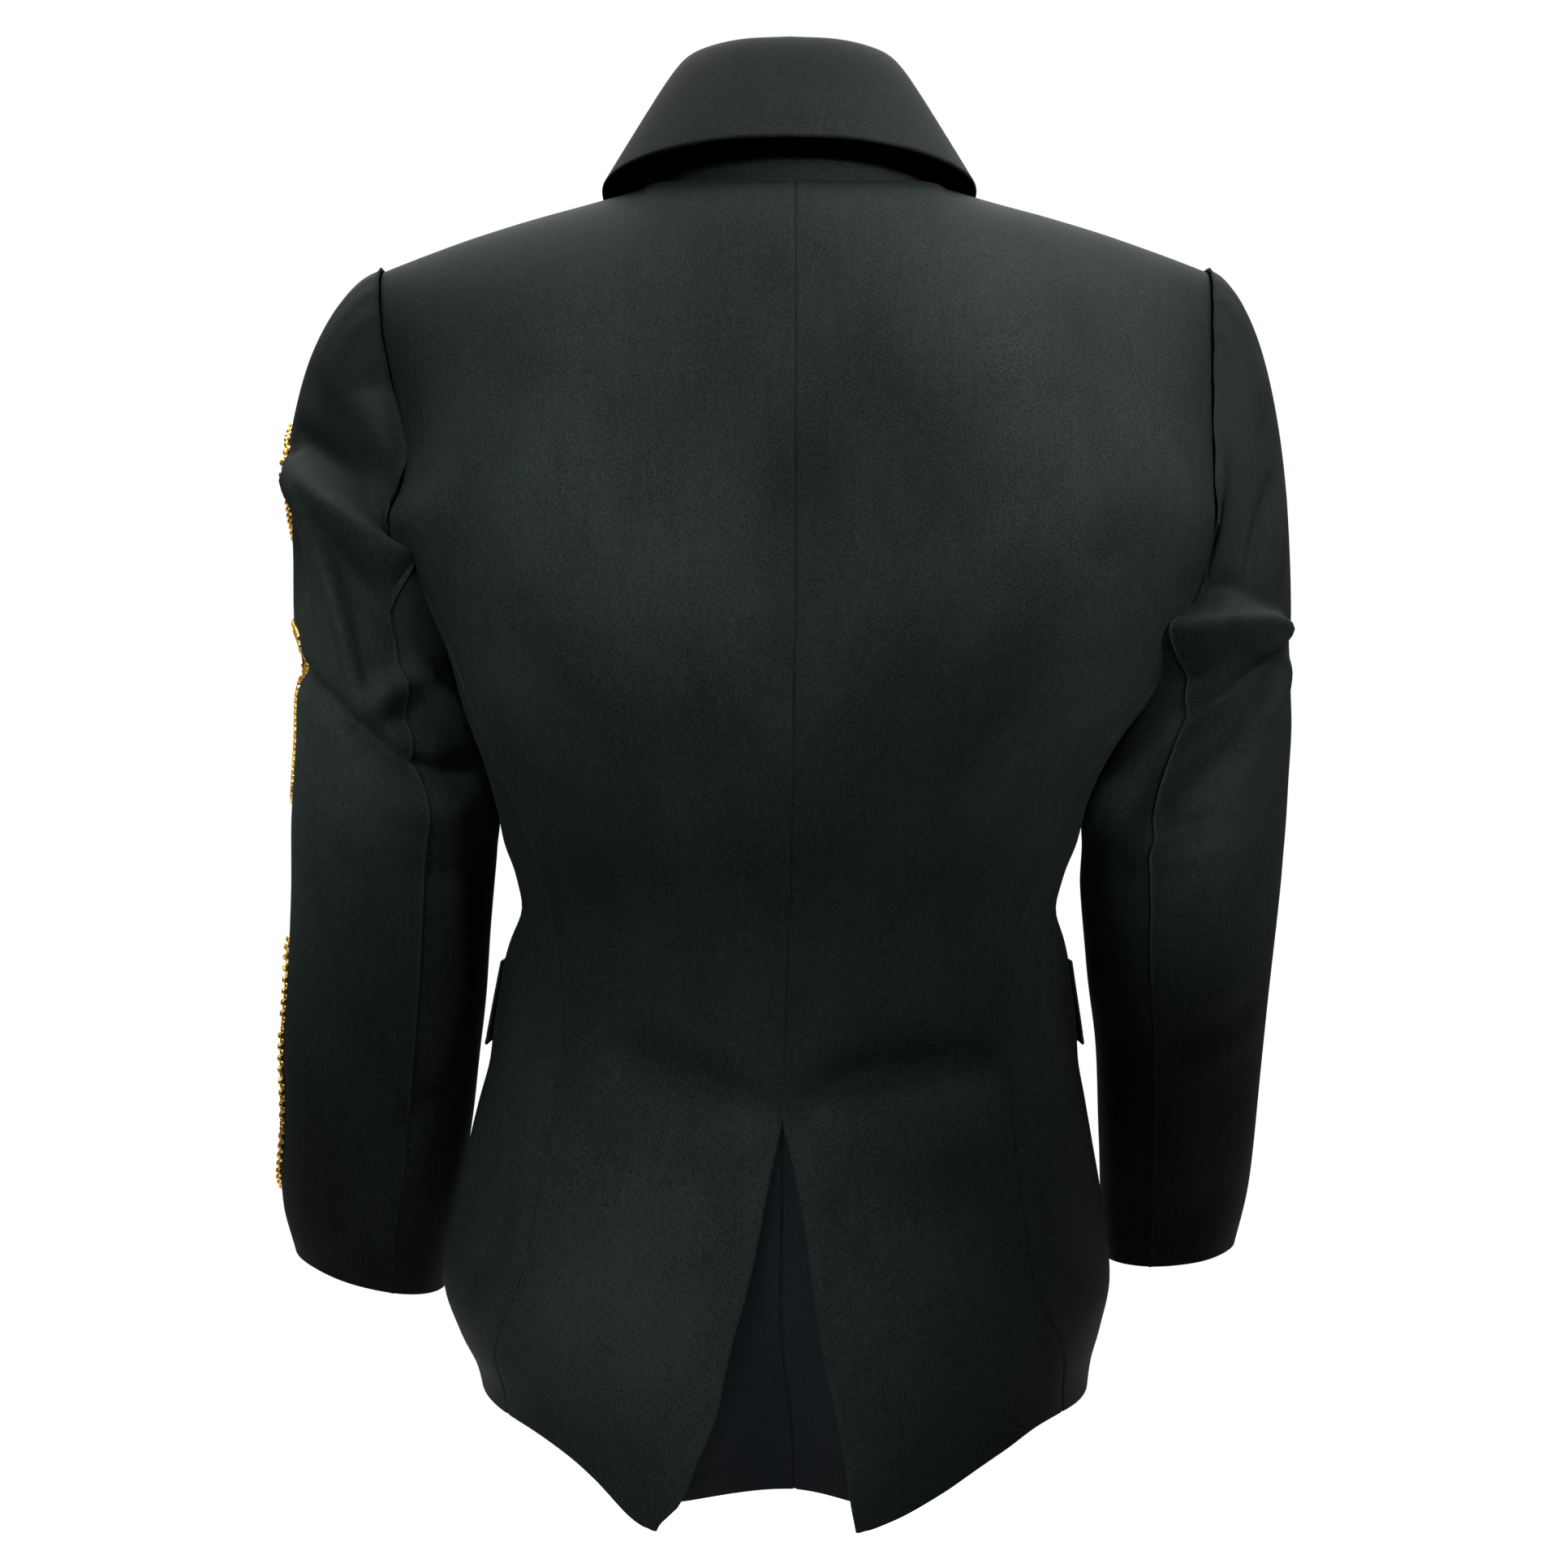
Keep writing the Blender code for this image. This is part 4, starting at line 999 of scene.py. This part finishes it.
for side, name in SIDES:
    for part, first, last, flat, area in (
            ("upper", -SLEEVE_SEAM, SLEEVE_SEAM, (0.26, 0.60), 0.103),
            ("under", SLEEVE_SEAM, 1 - SLEEVE_SEAM, (0.13, 0.44), 0.042)):
        sleeve = cloth(f"{part}_sleeve_cloth_{name}", sleeve_surface(side, first, last), side,
                       ("seam", "seam", "seam", "free"), v_end=2.0, step=3.2)
        sleeve.data.materials.append(gabardine)
        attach(sleeve, "root")
        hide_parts(f"{part}_sleeve_{name}")


# Beading
# Gold metal beads and foiled cut crystals, sewn one by one down the outer side of the left
# sleeve, in three sprays of leaves and flowers whose edging shows past the arm from behind.
BEAD_LENGTH, BEAD_PITCH, BEAD_ROOM = 2.5, 2.75, 1.0
# Radius and place along the axis, round a bead's wall and up a stone's side, as shares of size
BEAD_PROFILE = ((0.42, -0.36), (0.78, -0.50), (1.0, -0.26), (1.0, 0.26), (0.78, 0.50),
                (0.42, 0.36))
STONE_PROFILE = ((0.90, 0.0), (1.0, 0.16), (0.58, 0.44))
BEAD_SIDES, STONE_SIDES = 9, 8
# How far out a bead's middle sits, in its radius, the room it keeps, and a stone's lift
BEAD_SEAT, BEAD_KEEPS, STONE_LIFT = 0.92, 1.25, 0.2
# Rows of the edging, further and further from its line, with a stone here and there in the
# first, and rings of a flower round its stone
EDGING_ROWS, EDGING_PITCH, EDGING_BEAD = (0.0, 3.0, 6.0), 3.05, 1.15
EDGING_STONE, EDGING_STONE_EVERY = 1.5, 9
HEART_RING, HEART_BEAD, FLOWER_BEADS = 1.7, 0.9, 9
PETAL_RING, PETAL_BEAD, PETAL_STONE, PETAL_STONE_EVERY = 4.6, 1.1, 1.6, 3
# Beads of the stems and leaves begin a little way in, and vary in size
STEM_START, STEM_BEADS = 0.5, (0.9, 1.0)
# A leaf's line swings to its side and is fullest before its middle, and its vein stops short
LEAF_POINTS, LEAF_SWING, LEAF_TIP, VEIN = 30, 3, 0.8, slice(4, 22)
# No bead is sewn further to the front than this, or where the map of the cloth is torn
SEWN_FROM, TORN = -82, 3.0
# The map's first and last place round the sleeve, height and place along it, and how many
MAP_AROUND, MAP_HEIGHTS, MAP_ALONG = (-0.30, 0.10, 61), (-40, -550, 341), (0.05, 1.995, 261)
# Places are the distance in millimetres from the sleeve's outer line towards the back, and the
# height. A spray has its edging, how far every second bead of that stands out, its stem, its
# leaves as share of the stem, side, length, width and slant, and its flowers as place and size.
SPRAYS = {
    "upper": (
        ((-34, -88), (-6, -103), (10, -115), (23, -124), (28, -136), (22, -146), (-2, -159),
         (-36, -176)), 1.4,
        ((-60, -84), (-45, -98), (-30, -124), (-36, -156), (-62, -190)),
        ((0.10, 1, 24, 10, 35), (0.16, -1, 22, 10, 40), (0.36, 1, 26, 11, 30),
         (0.42, -1, 24, 10, 45), (0.66, 1, 24, 10, 35), (0.70, -1, 24, 10, 40),
         (0.90, 1, 20, 9, 35), (0.92, -1, 20, 9, 40)),
        ((-14, -132, 6.0), (-52, -116, 4.6), (-54, -166, 4.6)),
    ),
    "middle": (
        ((-30, -203), (6, -212), (27, -224), (27, -235), (18, -248), (17, -296), (0, -308),
         (-30, -316)), 0,
        ((-70, -208), (-44, -218), (-26, -246), (-24, -276), (-44, -304), (-72, -318)),
        ((0.08, -1, 20, 9, 40), (0.20, 1, 22, 10, 35), (0.26, -1, 24, 10, 40),
         (0.44, 1, 26, 11, 25), (0.50, -1, 26, 11, 40), (0.66, 1, 24, 10, 30),
         (0.74, -1, 24, 10, 40), (0.90, 1, 20, 9, 35)),
        ((-6, -240, 5.0), (-4, -280, 5.0), (-52, -262, 6.0)),
    ),
    "lower": (
        ((-40, -366), (0, -376), (15, -390), (18, -436), (23, -470), (17, -498), (-2, -516),
         (-42, -528)), 1.4,
        ((-72, -352), (-44, -366), (-26, -396), (-34, -436), (-20, -474), (-34, -510),
         (-66, -532)),
        ((0.05, -1, 20, 9, 40), (0.14, 1, 22, 10, 35), (0.22, -1, 26, 11, 40),
         (0.32, 1, 28, 11, 25), (0.40, -1, 26, 11, 45), (0.50, 1, 28, 12, 30),
         (0.58, -1, 26, 11, 40), (0.68, 1, 24, 10, 25), (0.76, -1, 26, 11, 40),
         (0.88, 1, 20, 9, 35), (0.94, -1, 20, 9, 40)),
        ((-8, -410, 6.0), (-58, -410, 5.0), (7, -460, 5.0), (-54, -470, 6.0),
         (-12, -498, 4.6)),
    ),
}


def sleeve_map():
    """Places on the left sleeve's cloth in even rows of height and columns round the arm."""
    around, heights = np.linspace(*MAP_AROUND), np.linspace(*MAP_HEIGHTS)
    points = sleeve_place(1, *np.meshgrid(around, np.linspace(*MAP_ALONG)))
    table = np.empty((len(heights), len(around), 3))
    for place in range(len(around)):
        fall = -points[:, place, 2]
        for axis in range(3):
            table[:, place, axis] = np.interp(-heights, fall, points[:, place, axis])
    return around * SLEEVE_GIRTH, heights, table


def on_sleeve(table, across, z):
    """Places and outward ways on the sleeve's cloth."""
    columns, heights, points = table

    def place(across, z):
        col = np.interp(across, columns, np.arange(len(columns)))
        row = np.interp(-np.asarray(z, float), -heights, np.arange(len(heights)))
        col = np.clip(col, 0, len(columns) - 1.001)
        row = np.clip(row, 0, len(heights) - 1.001)
        c, r = col.astype(int), row.astype(int)
        pc, pr = (col - c)[..., None], (row - r)[..., None]
        return mix(mix(points[r, c], points[r, c + 1], pc),
                   mix(points[r + 1, c], points[r + 1, c + 1], pc), pr)

    step = 1.5
    out = np.cross(place(across + step, z) - place(across - step, z),
                   place(across, z + step) - place(across, z - step))
    return place(across, z), unit(out)


def bent(points, count=160):
    """A smooth line through the places, timed by how far apart they are."""
    points = np.array(points, float)
    steps = np.cumsum([0, *np.linalg.norm(np.diff(points, axis=0), axis=1)])
    rows = [(at, *point) for at, point in zip(steps, points)]
    at = np.linspace(0, steps[-1], count)
    line = (("at", "a", "z"), rows)
    return np.stack([read(line, "a", at), read(line, "z", at)], axis=-1)


def strung(table, line, pitch, start):
    """Even places along a line as it lies on the sleeve, with the ways out and along."""
    reach = 0.4  # how far on and back the way along is taken
    points, _ = on_sleeve(table, line[:, 0], line[:, 1])
    run = np.cumsum([0, *np.linalg.norm(np.diff(points, axis=0), axis=1)])
    at = np.arange(start, run[-1], pitch)
    a, z = np.interp(at, run, line[:, 0]), np.interp(at, run, line[:, 1])
    here, out = on_sleeve(table, a, z)
    ahead = np.stack([np.interp(at + reach, run, points[:, axis]) -
                      np.interp(at - reach, run, points[:, axis]) for axis in range(3)], axis=-1)
    ahead = unit(ahead - (ahead * out).sum(axis=1, keepdims=True) * out)
    sewn = (np.abs(here[:, 2] - z) < TORN) & (a > SEWN_FROM)
    return zip(here[sewn], out[sewn], ahead[sewn])


def turned(profile, sides, closed):
    """Points and faces of a turned shape, its rings joined to each other, or in a loop."""
    turn = np.arange(sides) * 2 * np.pi / sides
    points = [(r * math.cos(t), r * math.sin(t), along) for r, along in profile for t in turn]
    faces, count = [], len(profile)
    for ring in range(count if closed else count - 1):
        for side in range(sides):
            after, above = (side + 1) % sides, (ring + 1) % count
            faces.append((ring * sides + side, ring * sides + after,
                          above * sides + after, above * sides + side))
    return np.array(points), faces


def sewn_on(name, shape, rows, material):
    """One object of many copies of a shape: rows are place, size, three ways and tint."""
    points, faces = shape
    centre, size, first, second, third, tint = [np.array(item) for item in zip(*rows)]
    frames = np.stack([first, second, third], axis=1)
    made = np.einsum("pk,nkx->npx", points, frames * size[:, :, None]) + centre[:, None, :]
    total = len(points)
    all_faces = [tuple(index + total * copy for index in face)
                 for copy in range(len(rows)) for face in faces]
    mesh = bpy.data.meshes.new(name)
    mesh.from_pydata((made.reshape(-1, 3) * MM).tolist(), [], all_faces)
    kept = mesh.attributes.new("tint", "FLOAT", "POINT")
    kept.data.foreach_set("value", np.repeat(tint, total))
    mesh.materials.append(material)
    return placed(name, mesh)


# The gold's wear changes about every 1.1 mm
GOLD_WEAR_MM = 10 / 9


def polished_gold():
    """Gold-toned brass, tumbled bright: warm mirror glints, each bead a little different."""
    material, tree = new_material("brass_gold_tone_tumbled")
    tint = node(tree, "ShaderNodeAttribute", attribute_name="tint").outputs["Fac"]
    spot = node(tree, "ShaderNodeTexCoord").outputs["Object"]
    wear = node(tree, "ShaderNodeTexNoise", {
        "Vector": spot, "Scale": 1000 / GOLD_WEAR_MM, "Detail": 2.0})
    colour = node(tree, "ShaderNodeMix", {
        "Factor": tint, "A": linear("#e0a231"), "B": linear("#ffd468")}, data_type="RGBA")
    rough = node(tree, "ShaderNodeMapRange", {
        "Value": wear.outputs["Fac"], "To Min": 0.22, "To Max": 0.38})
    return surfaced(material, {
        "Base Color": colour.outputs["Result"], "Roughness": rough.outputs["Result"],
        "Metallic": 0.85})


def foiled_crystal():
    """Cut glass backed with foil: bright flat facets, from clear to a faint green."""
    material, tree = new_material("cut_crystal_foiled")
    tint = node(tree, "ShaderNodeAttribute", attribute_name="tint").outputs["Fac"]
    colour = node(tree, "ShaderNodeMix", {
        "Factor": tint, "A": linear("#d3dcc2"), "B": linear("#f2f3ee")}, data_type="RGBA")
    return surfaced(material, {
        "Base Color": colour.outputs["Result"], "Roughness": 0.06, "IOR": 1.54,
        "Metallic": 0.35, "Coat Weight": 0.6})


def spray_lines(stem, leaves):
    """The stem, then both edges and the vein of each leaf, as lines on the sleeve."""
    lines = [stem]
    for share, side, length, width, slant in leaves:
        at = int(share * (len(stem) - 2))
        way = stem[at + 1] - stem[at]
        turn = math.atan2(way[1], way[0]) + side * math.radians(slant)
        along = np.array((math.cos(turn), math.sin(turn)))
        beside = np.array((-along[1], along[0]))
        part = np.linspace(0, 1, LEAF_POINTS)[:, None]
        swing = beside * side * LEAF_SWING * np.sin(np.pi * part)
        middle = stem[at] + along * length * part + swing
        bulge = width / 2 * np.sin(np.pi * part ** LEAF_TIP)
        lines += [middle + beside * bulge, middle - beside * bulge, middle[VEIN]]
    return lines


def spray(edging, loop, stem, leaves, flowers):
    """The beads and the stones of one spray, sewn in turn where there is room."""
    beads, stones, taken = [], [], []

    def free(place):
        return all(np.linalg.norm(place - other) > BEAD_ROOM + kept for other, kept in taken)

    def sew_bead(place, out, ahead, size):
        radius = BEAD_LENGTH / 2 * size
        beads.append((place + out * radius * BEAD_SEAT, (radius, radius, BEAD_LENGTH * size),
                      out, np.cross(ahead, out), ahead, chance.uniform()))
        taken.append((place, BEAD_KEEPS * size))

    def sew_stone(place, out, ahead, radius):
        stones.append((place + out * STONE_LIFT, (radius, radius, radius), ahead,
                       np.cross(out, ahead), out, chance.uniform()))
        taken.append((place, radius))

    for a, z, size in flowers:
        spots, outs = on_sleeve(cloth_map, np.array((a, a + 1.0)), np.array((z, z)))
        sew_stone(spots[0], outs[0], unit(spots[1] - spots[0]), size / 2)
        for radius, petals in ((size / 2 + HEART_RING, False), (size / 2 + PETAL_RING, True)):
            for index in range(FLOWER_BEADS):
                turn = 2 * math.pi * (index + 0.5 * petals) / FLOWER_BEADS
                spot, out = on_sleeve(cloth_map, np.array([a + radius * math.cos(turn)]),
                                      np.array([z + radius * math.sin(turn)]))
                way = unit(spot[0] - spots[0])
                if not petals:
                    sew_bead(spot[0], out[0], np.cross(out[0], way), HEART_BEAD)
                elif index % PETAL_STONE_EVERY:
                    sew_bead(spot[0], out[0], way, PETAL_BEAD)
                else:
                    sew_stone(spot[0], out[0], way, PETAL_STONE)
    edge_line = bent(edging)
    for row in EDGING_ROWS:
        shifted = edge_line - np.array((row, 0))
        for index, (place, out, ahead) in enumerate(
                strung(cloth_map, shifted, EDGING_PITCH, 0.0)):
            if row == 0 and index % EDGING_STONE_EVERY == EDGING_STONE_EVERY // 2:
                sew_stone(place, out, ahead, EDGING_STONE)
            elif free(place):
                looped = loop if row == 0 and index % 2 else 0
                sew_bead(place + out * looped, out, ahead, EDGING_BEAD)
    for line in spray_lines(bent(stem), leaves):
        for place, out, ahead in strung(cloth_map, line, BEAD_PITCH, STEM_START):
            if free(place):
                sew_bead(place, out, ahead, chance.uniform(*STEM_BEADS))
    return beads, stones


gold, crystal = polished_gold(), foiled_crystal()
bead_shape = turned(BEAD_PROFILE, BEAD_SIDES, True)
stone_shape = turned(STONE_PROFILE, STONE_SIDES, False)
stone_shape[1].append(tuple(2 * STONE_SIDES + side for side in range(STONE_SIDES)))
stone_shape[1].append(tuple(reversed(range(STONE_SIDES))))
chance = np.random.default_rng(7)
cloth_map = sleeve_map()
for name, parts in SPRAYS.items():
    beads, stones = spray(*parts)
    for kind, shape, rows, material, slot in (
            ("gold_beads", bead_shape, beads, gold, "gold_bead"),
            ("crystals", stone_shape, stones, crystal, "clear_crystal")):
        piece = sewn_on(f"{kind}_{name}_left_sleeve", shape, rows, material)
        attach(piece, "root")


# Pocket flaps
# A straight flap of doubled cloth, sewn into the pocket mouth and hanging over it, on the
# front and round the side of the hip. Its lower corner shows behind the arm.
FLAP_TOP, FLAP_HEIGHT, FLAP_FLARE = -388, 44, 0.6
FLAP_BACK_ANGLE, FLAP_FRONT_ANGLE = math.radians(87), math.radians(146)


def flap_surface(side):
    """Back end (u 0) to front end (u 1), lower edge (v 0) to the pocket mouth (v 1)."""
    def surface(u, v):
        angle = mix(FLAP_BACK_ANGLE, FLAP_FRONT_ANGLE, u)
        z = FLAP_TOP - FLAP_HEIGHT * (1 - v)
        step = 0.01
        point = body_point(side, angle, z)
        across = body_point(side, angle + step, z) - body_point(side, angle - step, z)
        normal = side * unit(np.cross(across, np.array((0, 0, -1.0))))
        return point + normal * (CLOTH + LAYER_GAP + FLAP_FLARE * (1 - v))[..., None]
    return surface


for side, name in SIDES:
    flap = cloth("pocket_flap_cloth_" + name, flap_surface(side), -side, ALL_FREE, step=3.5,
                 shell=1.9, grooves=((2, *TOPSTITCH), (0, *TOPSTITCH), (1, *TOPSTITCH)))
    flap.data.materials.append(gabardine)
    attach(flap, "root")
    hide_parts("pocket_flap_" + name)


# Vent underlays
# Two strips of the same cloth behind the vent, seamed down their middle and folded under
# the backs at the sides. They lie in shade and look a little bluer: their colour is a darker,
# bluer copy of the gabardine, which is painted shade.
UNDERLAY_HEM, UNDERLAY_TOP, UNDERLAY_TURN, UNDERLAY_GAP = -635, 9, 22, 0.6
UNDERLAY_DEPTH, UNDERLAY_SEAM_SWING = 27, 4


def underlay_surface(side):
    """Centre seam (u 0) to the fold under the back (u 1), hem (v 0) to the vent's apex (v 1)."""
    def surface(u, v):
        low = 1 - v
        z = mix(UNDERLAY_HEM, VENT_APEX + UNDERLAY_TOP, v)
        reach = vent_edge(side, z) + mix(UNDERLAY_TOP, UNDERLAY_TURN, low)
        seam = -UNDERLAY_SEAM_SWING * low * side
        x = mix(seam + HALF_GAP, reach, u)
        point = body_point(side, angle_at(x, z), z)
        deep = 0.5 + 0.5 * np.cos(np.pi * np.minimum(np.abs(x) / reach, 1))
        point[..., 1] -= CLOTH + UNDERLAY_GAP + UNDERLAY_DEPTH * low * deep
        point[..., 1] += fold_height(BACK_FOLDS[side], side * point[..., 0], z)
        return point
    return surface


# The same gabardine in darker, bluer colours: painted shade on the underlays
painted_shade_gabardine = worsted_gabardine("worsted_gabardine_underlay_painted_shade", "#090d10", "#14181c")
for side, name in SIDES:
    underlay = cloth("vent_underlay_cloth_" + name, underlay_surface(side), -side,
                     ("seam", "free", "free", "free"), step=3.5)
    underlay.data.materials.append(painted_shade_gabardine)
    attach(underlay, "root")
    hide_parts("vent_underlay_" + name)


# Front button
# A dished black resin button with four holes, sewn through the left front and passed through
# the right one. It is cast and tumbled to a satin gloss.
RESIN_CLOUD_MM = 2.5


def cast_resin():
    """Cast polyester resin, tumbled: smooth and black, with soft clouds in its gloss."""
    material, tree = new_material("cast_resin_black_satin")
    spot = node(tree, "ShaderNodeTexCoord").outputs["Object"]
    cloud = node(tree, "ShaderNodeTexNoise", {
        "Vector": spot, "Scale": 1000 / RESIN_CLOUD_MM, "Detail": 3.0})
    colour = node(tree, "ShaderNodeMix", {
        "Factor": cloud.outputs["Fac"], "A": linear("#0d0e0f"), "B": linear("#1b1c1e")},
        data_type="RGBA")
    rough = node(tree, "ShaderNodeMapRange", {
        "Value": cloud.outputs["Fac"], "To Min": 0.22, "To Max": 0.38})
    return surfaced(material, {
        "Base Color": colour.outputs["Result"], "Roughness": rough.outputs["Result"],
        "IOR": 1.55})


BUTTON_Z, BUTTON_RADIUS, BUTTON_LIFT, BUTTON_SIDES = -346, 10.5, 0.9, 72
# Height of the face over its radius, and radius and height down the rim to the back
BUTTON_FACE = (("radius", "height"), (
    (0, 2.3), (3.5, 2.3), (6.0, 2.5), (7.2, 3.1), (8.4, 3.7), (9.4, 3.6), (10.1, 3.0),
    (10.5, 2.1),
))
BUTTON_RIM = ((10.5, 1.0), (9.9, 0.2), (9.2, 0.0))
HOLE_PLACE, HOLE_RADIUS, HOLE_DEPTH, HOLE_WALL = 1.75, 0.85, 1.5, 6

# The rings are closest together over the holes
radii = np.concatenate([np.linspace(0.25, 4.0, 16), np.linspace(4.4, BUTTON_RADIUS, 22)])
button_profile = [*zip(radii, read(BUTTON_FACE, "height", radii)), *BUTTON_RIM]
points, faces = turned(button_profile, BUTTON_SIDES, False)
for hole_x in (-HOLE_PLACE, HOLE_PLACE):
    for hole_y in (-HOLE_PLACE, HOLE_PLACE):
        away = np.hypot(points[:, 0] - hole_x, points[:, 1] - hole_y)
        points[:, 2] -= HOLE_DEPTH / (1 + (away / HOLE_RADIUS) ** HOLE_WALL)
faces += [tuple(reversed(range(BUTTON_SIDES))),
          tuple(range(len(points) - BUTTON_SIDES, len(points)))]
# It lies on the right front, turned to the cloth's slope there
heights = BUTTON_Z + BUTTON_RADIUS * np.array((0, 1, -1))
centre, over, below = front_at(-1, np.zeros(3), heights)
slope = over - below
along, out = np.array((1.0, 0, 0)), unit(np.array((0.0, -slope[2], slope[1])))
points[:, 2] += BUTTON_LIFT
points = centre + points @ np.stack([along, np.cross(along, out), out])
button_mesh = bpy.data.meshes.new("button_resin")
button_mesh.from_pydata((points * MM).tolist(), [], [face[::-1] for face in faces])
button_mesh.shade_smooth()
button_mesh.set_sharp_from_angle(angle=math.radians(50))
button_mesh.materials.append(cast_resin())
button = placed("button_resin", button_mesh)
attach(button, "root")
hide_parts("front_button")


# Floor and light
# A sheet of white backdrop paper as far below the shoulders as a floor would be, lit by a
# wide softbox of its own. Narrow softboxes stand round the camera: the key high on the right,
# and weaker ones for the shoulder blade, the neck, the waist, the hem and the sleeves.
WALL_LIGHT = 0.02
WARM, WHITE = "#fff3ee", "#ffffff"
# Name, place, the place it is aimed at, side, power, spread and colour
LAMPS = (
    ("key_softbox", (-0.62, 0.72, 0.34), (-0.13, 0.10, -0.14), 0.2, 0.32, 36, WARM),
    ("blade_softbox", (-0.35, 0.90, 0.25), (-0.150, 0.08, -0.110), 0.15, 0.15, 11, WARM),
    ("left_softbox", (0.25, 0.90, 0.10), (0.12, 0.10, -0.13), 0.16, 0.14, 16, WHITE),
    ("left_low_softbox", (0.90, 0.80, -0.35), (0.16, 0.10, -0.50), 0.2, 0.07, 30, WHITE),
    ("neck_softbox", (-0.35, 0.75, 0.20), (-0.02, 0.06, -0.01), 0.15, 0.10, 14, WARM),
    ("waist_softbox", (0.20, 0.95, -0.15), (0.02, 0.10, -0.22), 0.2, 0.10, 20, WHITE),
    ("hem_softbox", (0.10, 0.95, -0.50), (0.04, 0.12, -0.53), 0.2, 0.09, 20, WHITE),
    ("skirt_softbox", (0.40, 0.95, -0.25), (0.072, 0.12, -0.53), 0.2, 0.06, 14, WHITE),
    ("sleeve_softbox", (0.70, 0.90, 0.20), (0.24, 0.0, -0.29), 0.12, 0.13, 14, WHITE),
    ("elbow_softbox", (-0.50, 0.90, -0.30), (-0.20, 0.06, -0.30), 0.12, 0.050, 11, WHITE),
    ("paper_softbox", (0.0, -1.0, 1.2), (0.0, -0.99, -1.4), 2.8, 100, 130, WHITE),
)
FLOOR_Z, FLOOR_SIDE, FLOOR_FRONT, FLOOR_BACK = -1.42, 2.6, -1.9, 0.45
floor_mesh = bpy.data.meshes.new("floor")
floor_mesh.from_pydata([(-FLOOR_SIDE, FLOOR_FRONT, FLOOR_Z), (FLOOR_SIDE, FLOOR_FRONT, FLOOR_Z),
                        (FLOOR_SIDE, FLOOR_BACK, FLOOR_Z), (-FLOOR_SIDE, FLOOR_BACK, FLOOR_Z)],
                       [], [(0, 1, 2, 3)])
# Uncoated paper pulp, rolled smooth: an even matt white
paper = surfaced(new_material("matt_white_backdrop_paper")[0], {
    "Base Color": linear("#f6f6f4"), "Roughness": 0.9})
floor_mesh.materials.append(paper)
floor = placed("floor", floor_mesh)

# The backdrop is plain white behind the blazer, and next to no light comes from it
world = bpy.data.worlds.new("white_studio")
world.use_nodes = True
world.node_tree.nodes.clear()
backdrop, walls = [
    node(world.node_tree, "ShaderNodeBackground", {"Color": linear(WHITE), "Strength": strength})
    for strength in (1.0, WALL_LIGHT)]
both = node(world.node_tree, "ShaderNodeMixShader", {
    0: node(world.node_tree, "ShaderNodeLightPath").outputs["Is Camera Ray"],
    1: walls.outputs[0], 2: backdrop.outputs[0]})
node(world.node_tree, "ShaderNodeOutputWorld", {"Surface": both.outputs[0]})
bpy.context.scene.world = world
bpy.context.scene.view_settings.view_transform = "Standard"

for lamp_name, lamp_place, lamp_aim, lamp_size, lamp_watts, lamp_spread, lamp_colour in LAMPS:
    light = bpy.data.lights.new(lamp_name, "AREA")
    light.shape = "SQUARE"
    light.size = lamp_size
    light.energy = lamp_watts
    light.color = linear(lamp_colour)[:3]
    light.spread = math.radians(lamp_spread)
    lamp = placed(lamp_name, light)
    lamp.location = lamp_place
    aim = Vector(lamp_aim) - lamp.location
    lamp.rotation_euler = aim.to_track_quat("-Z", "Y").to_euler()
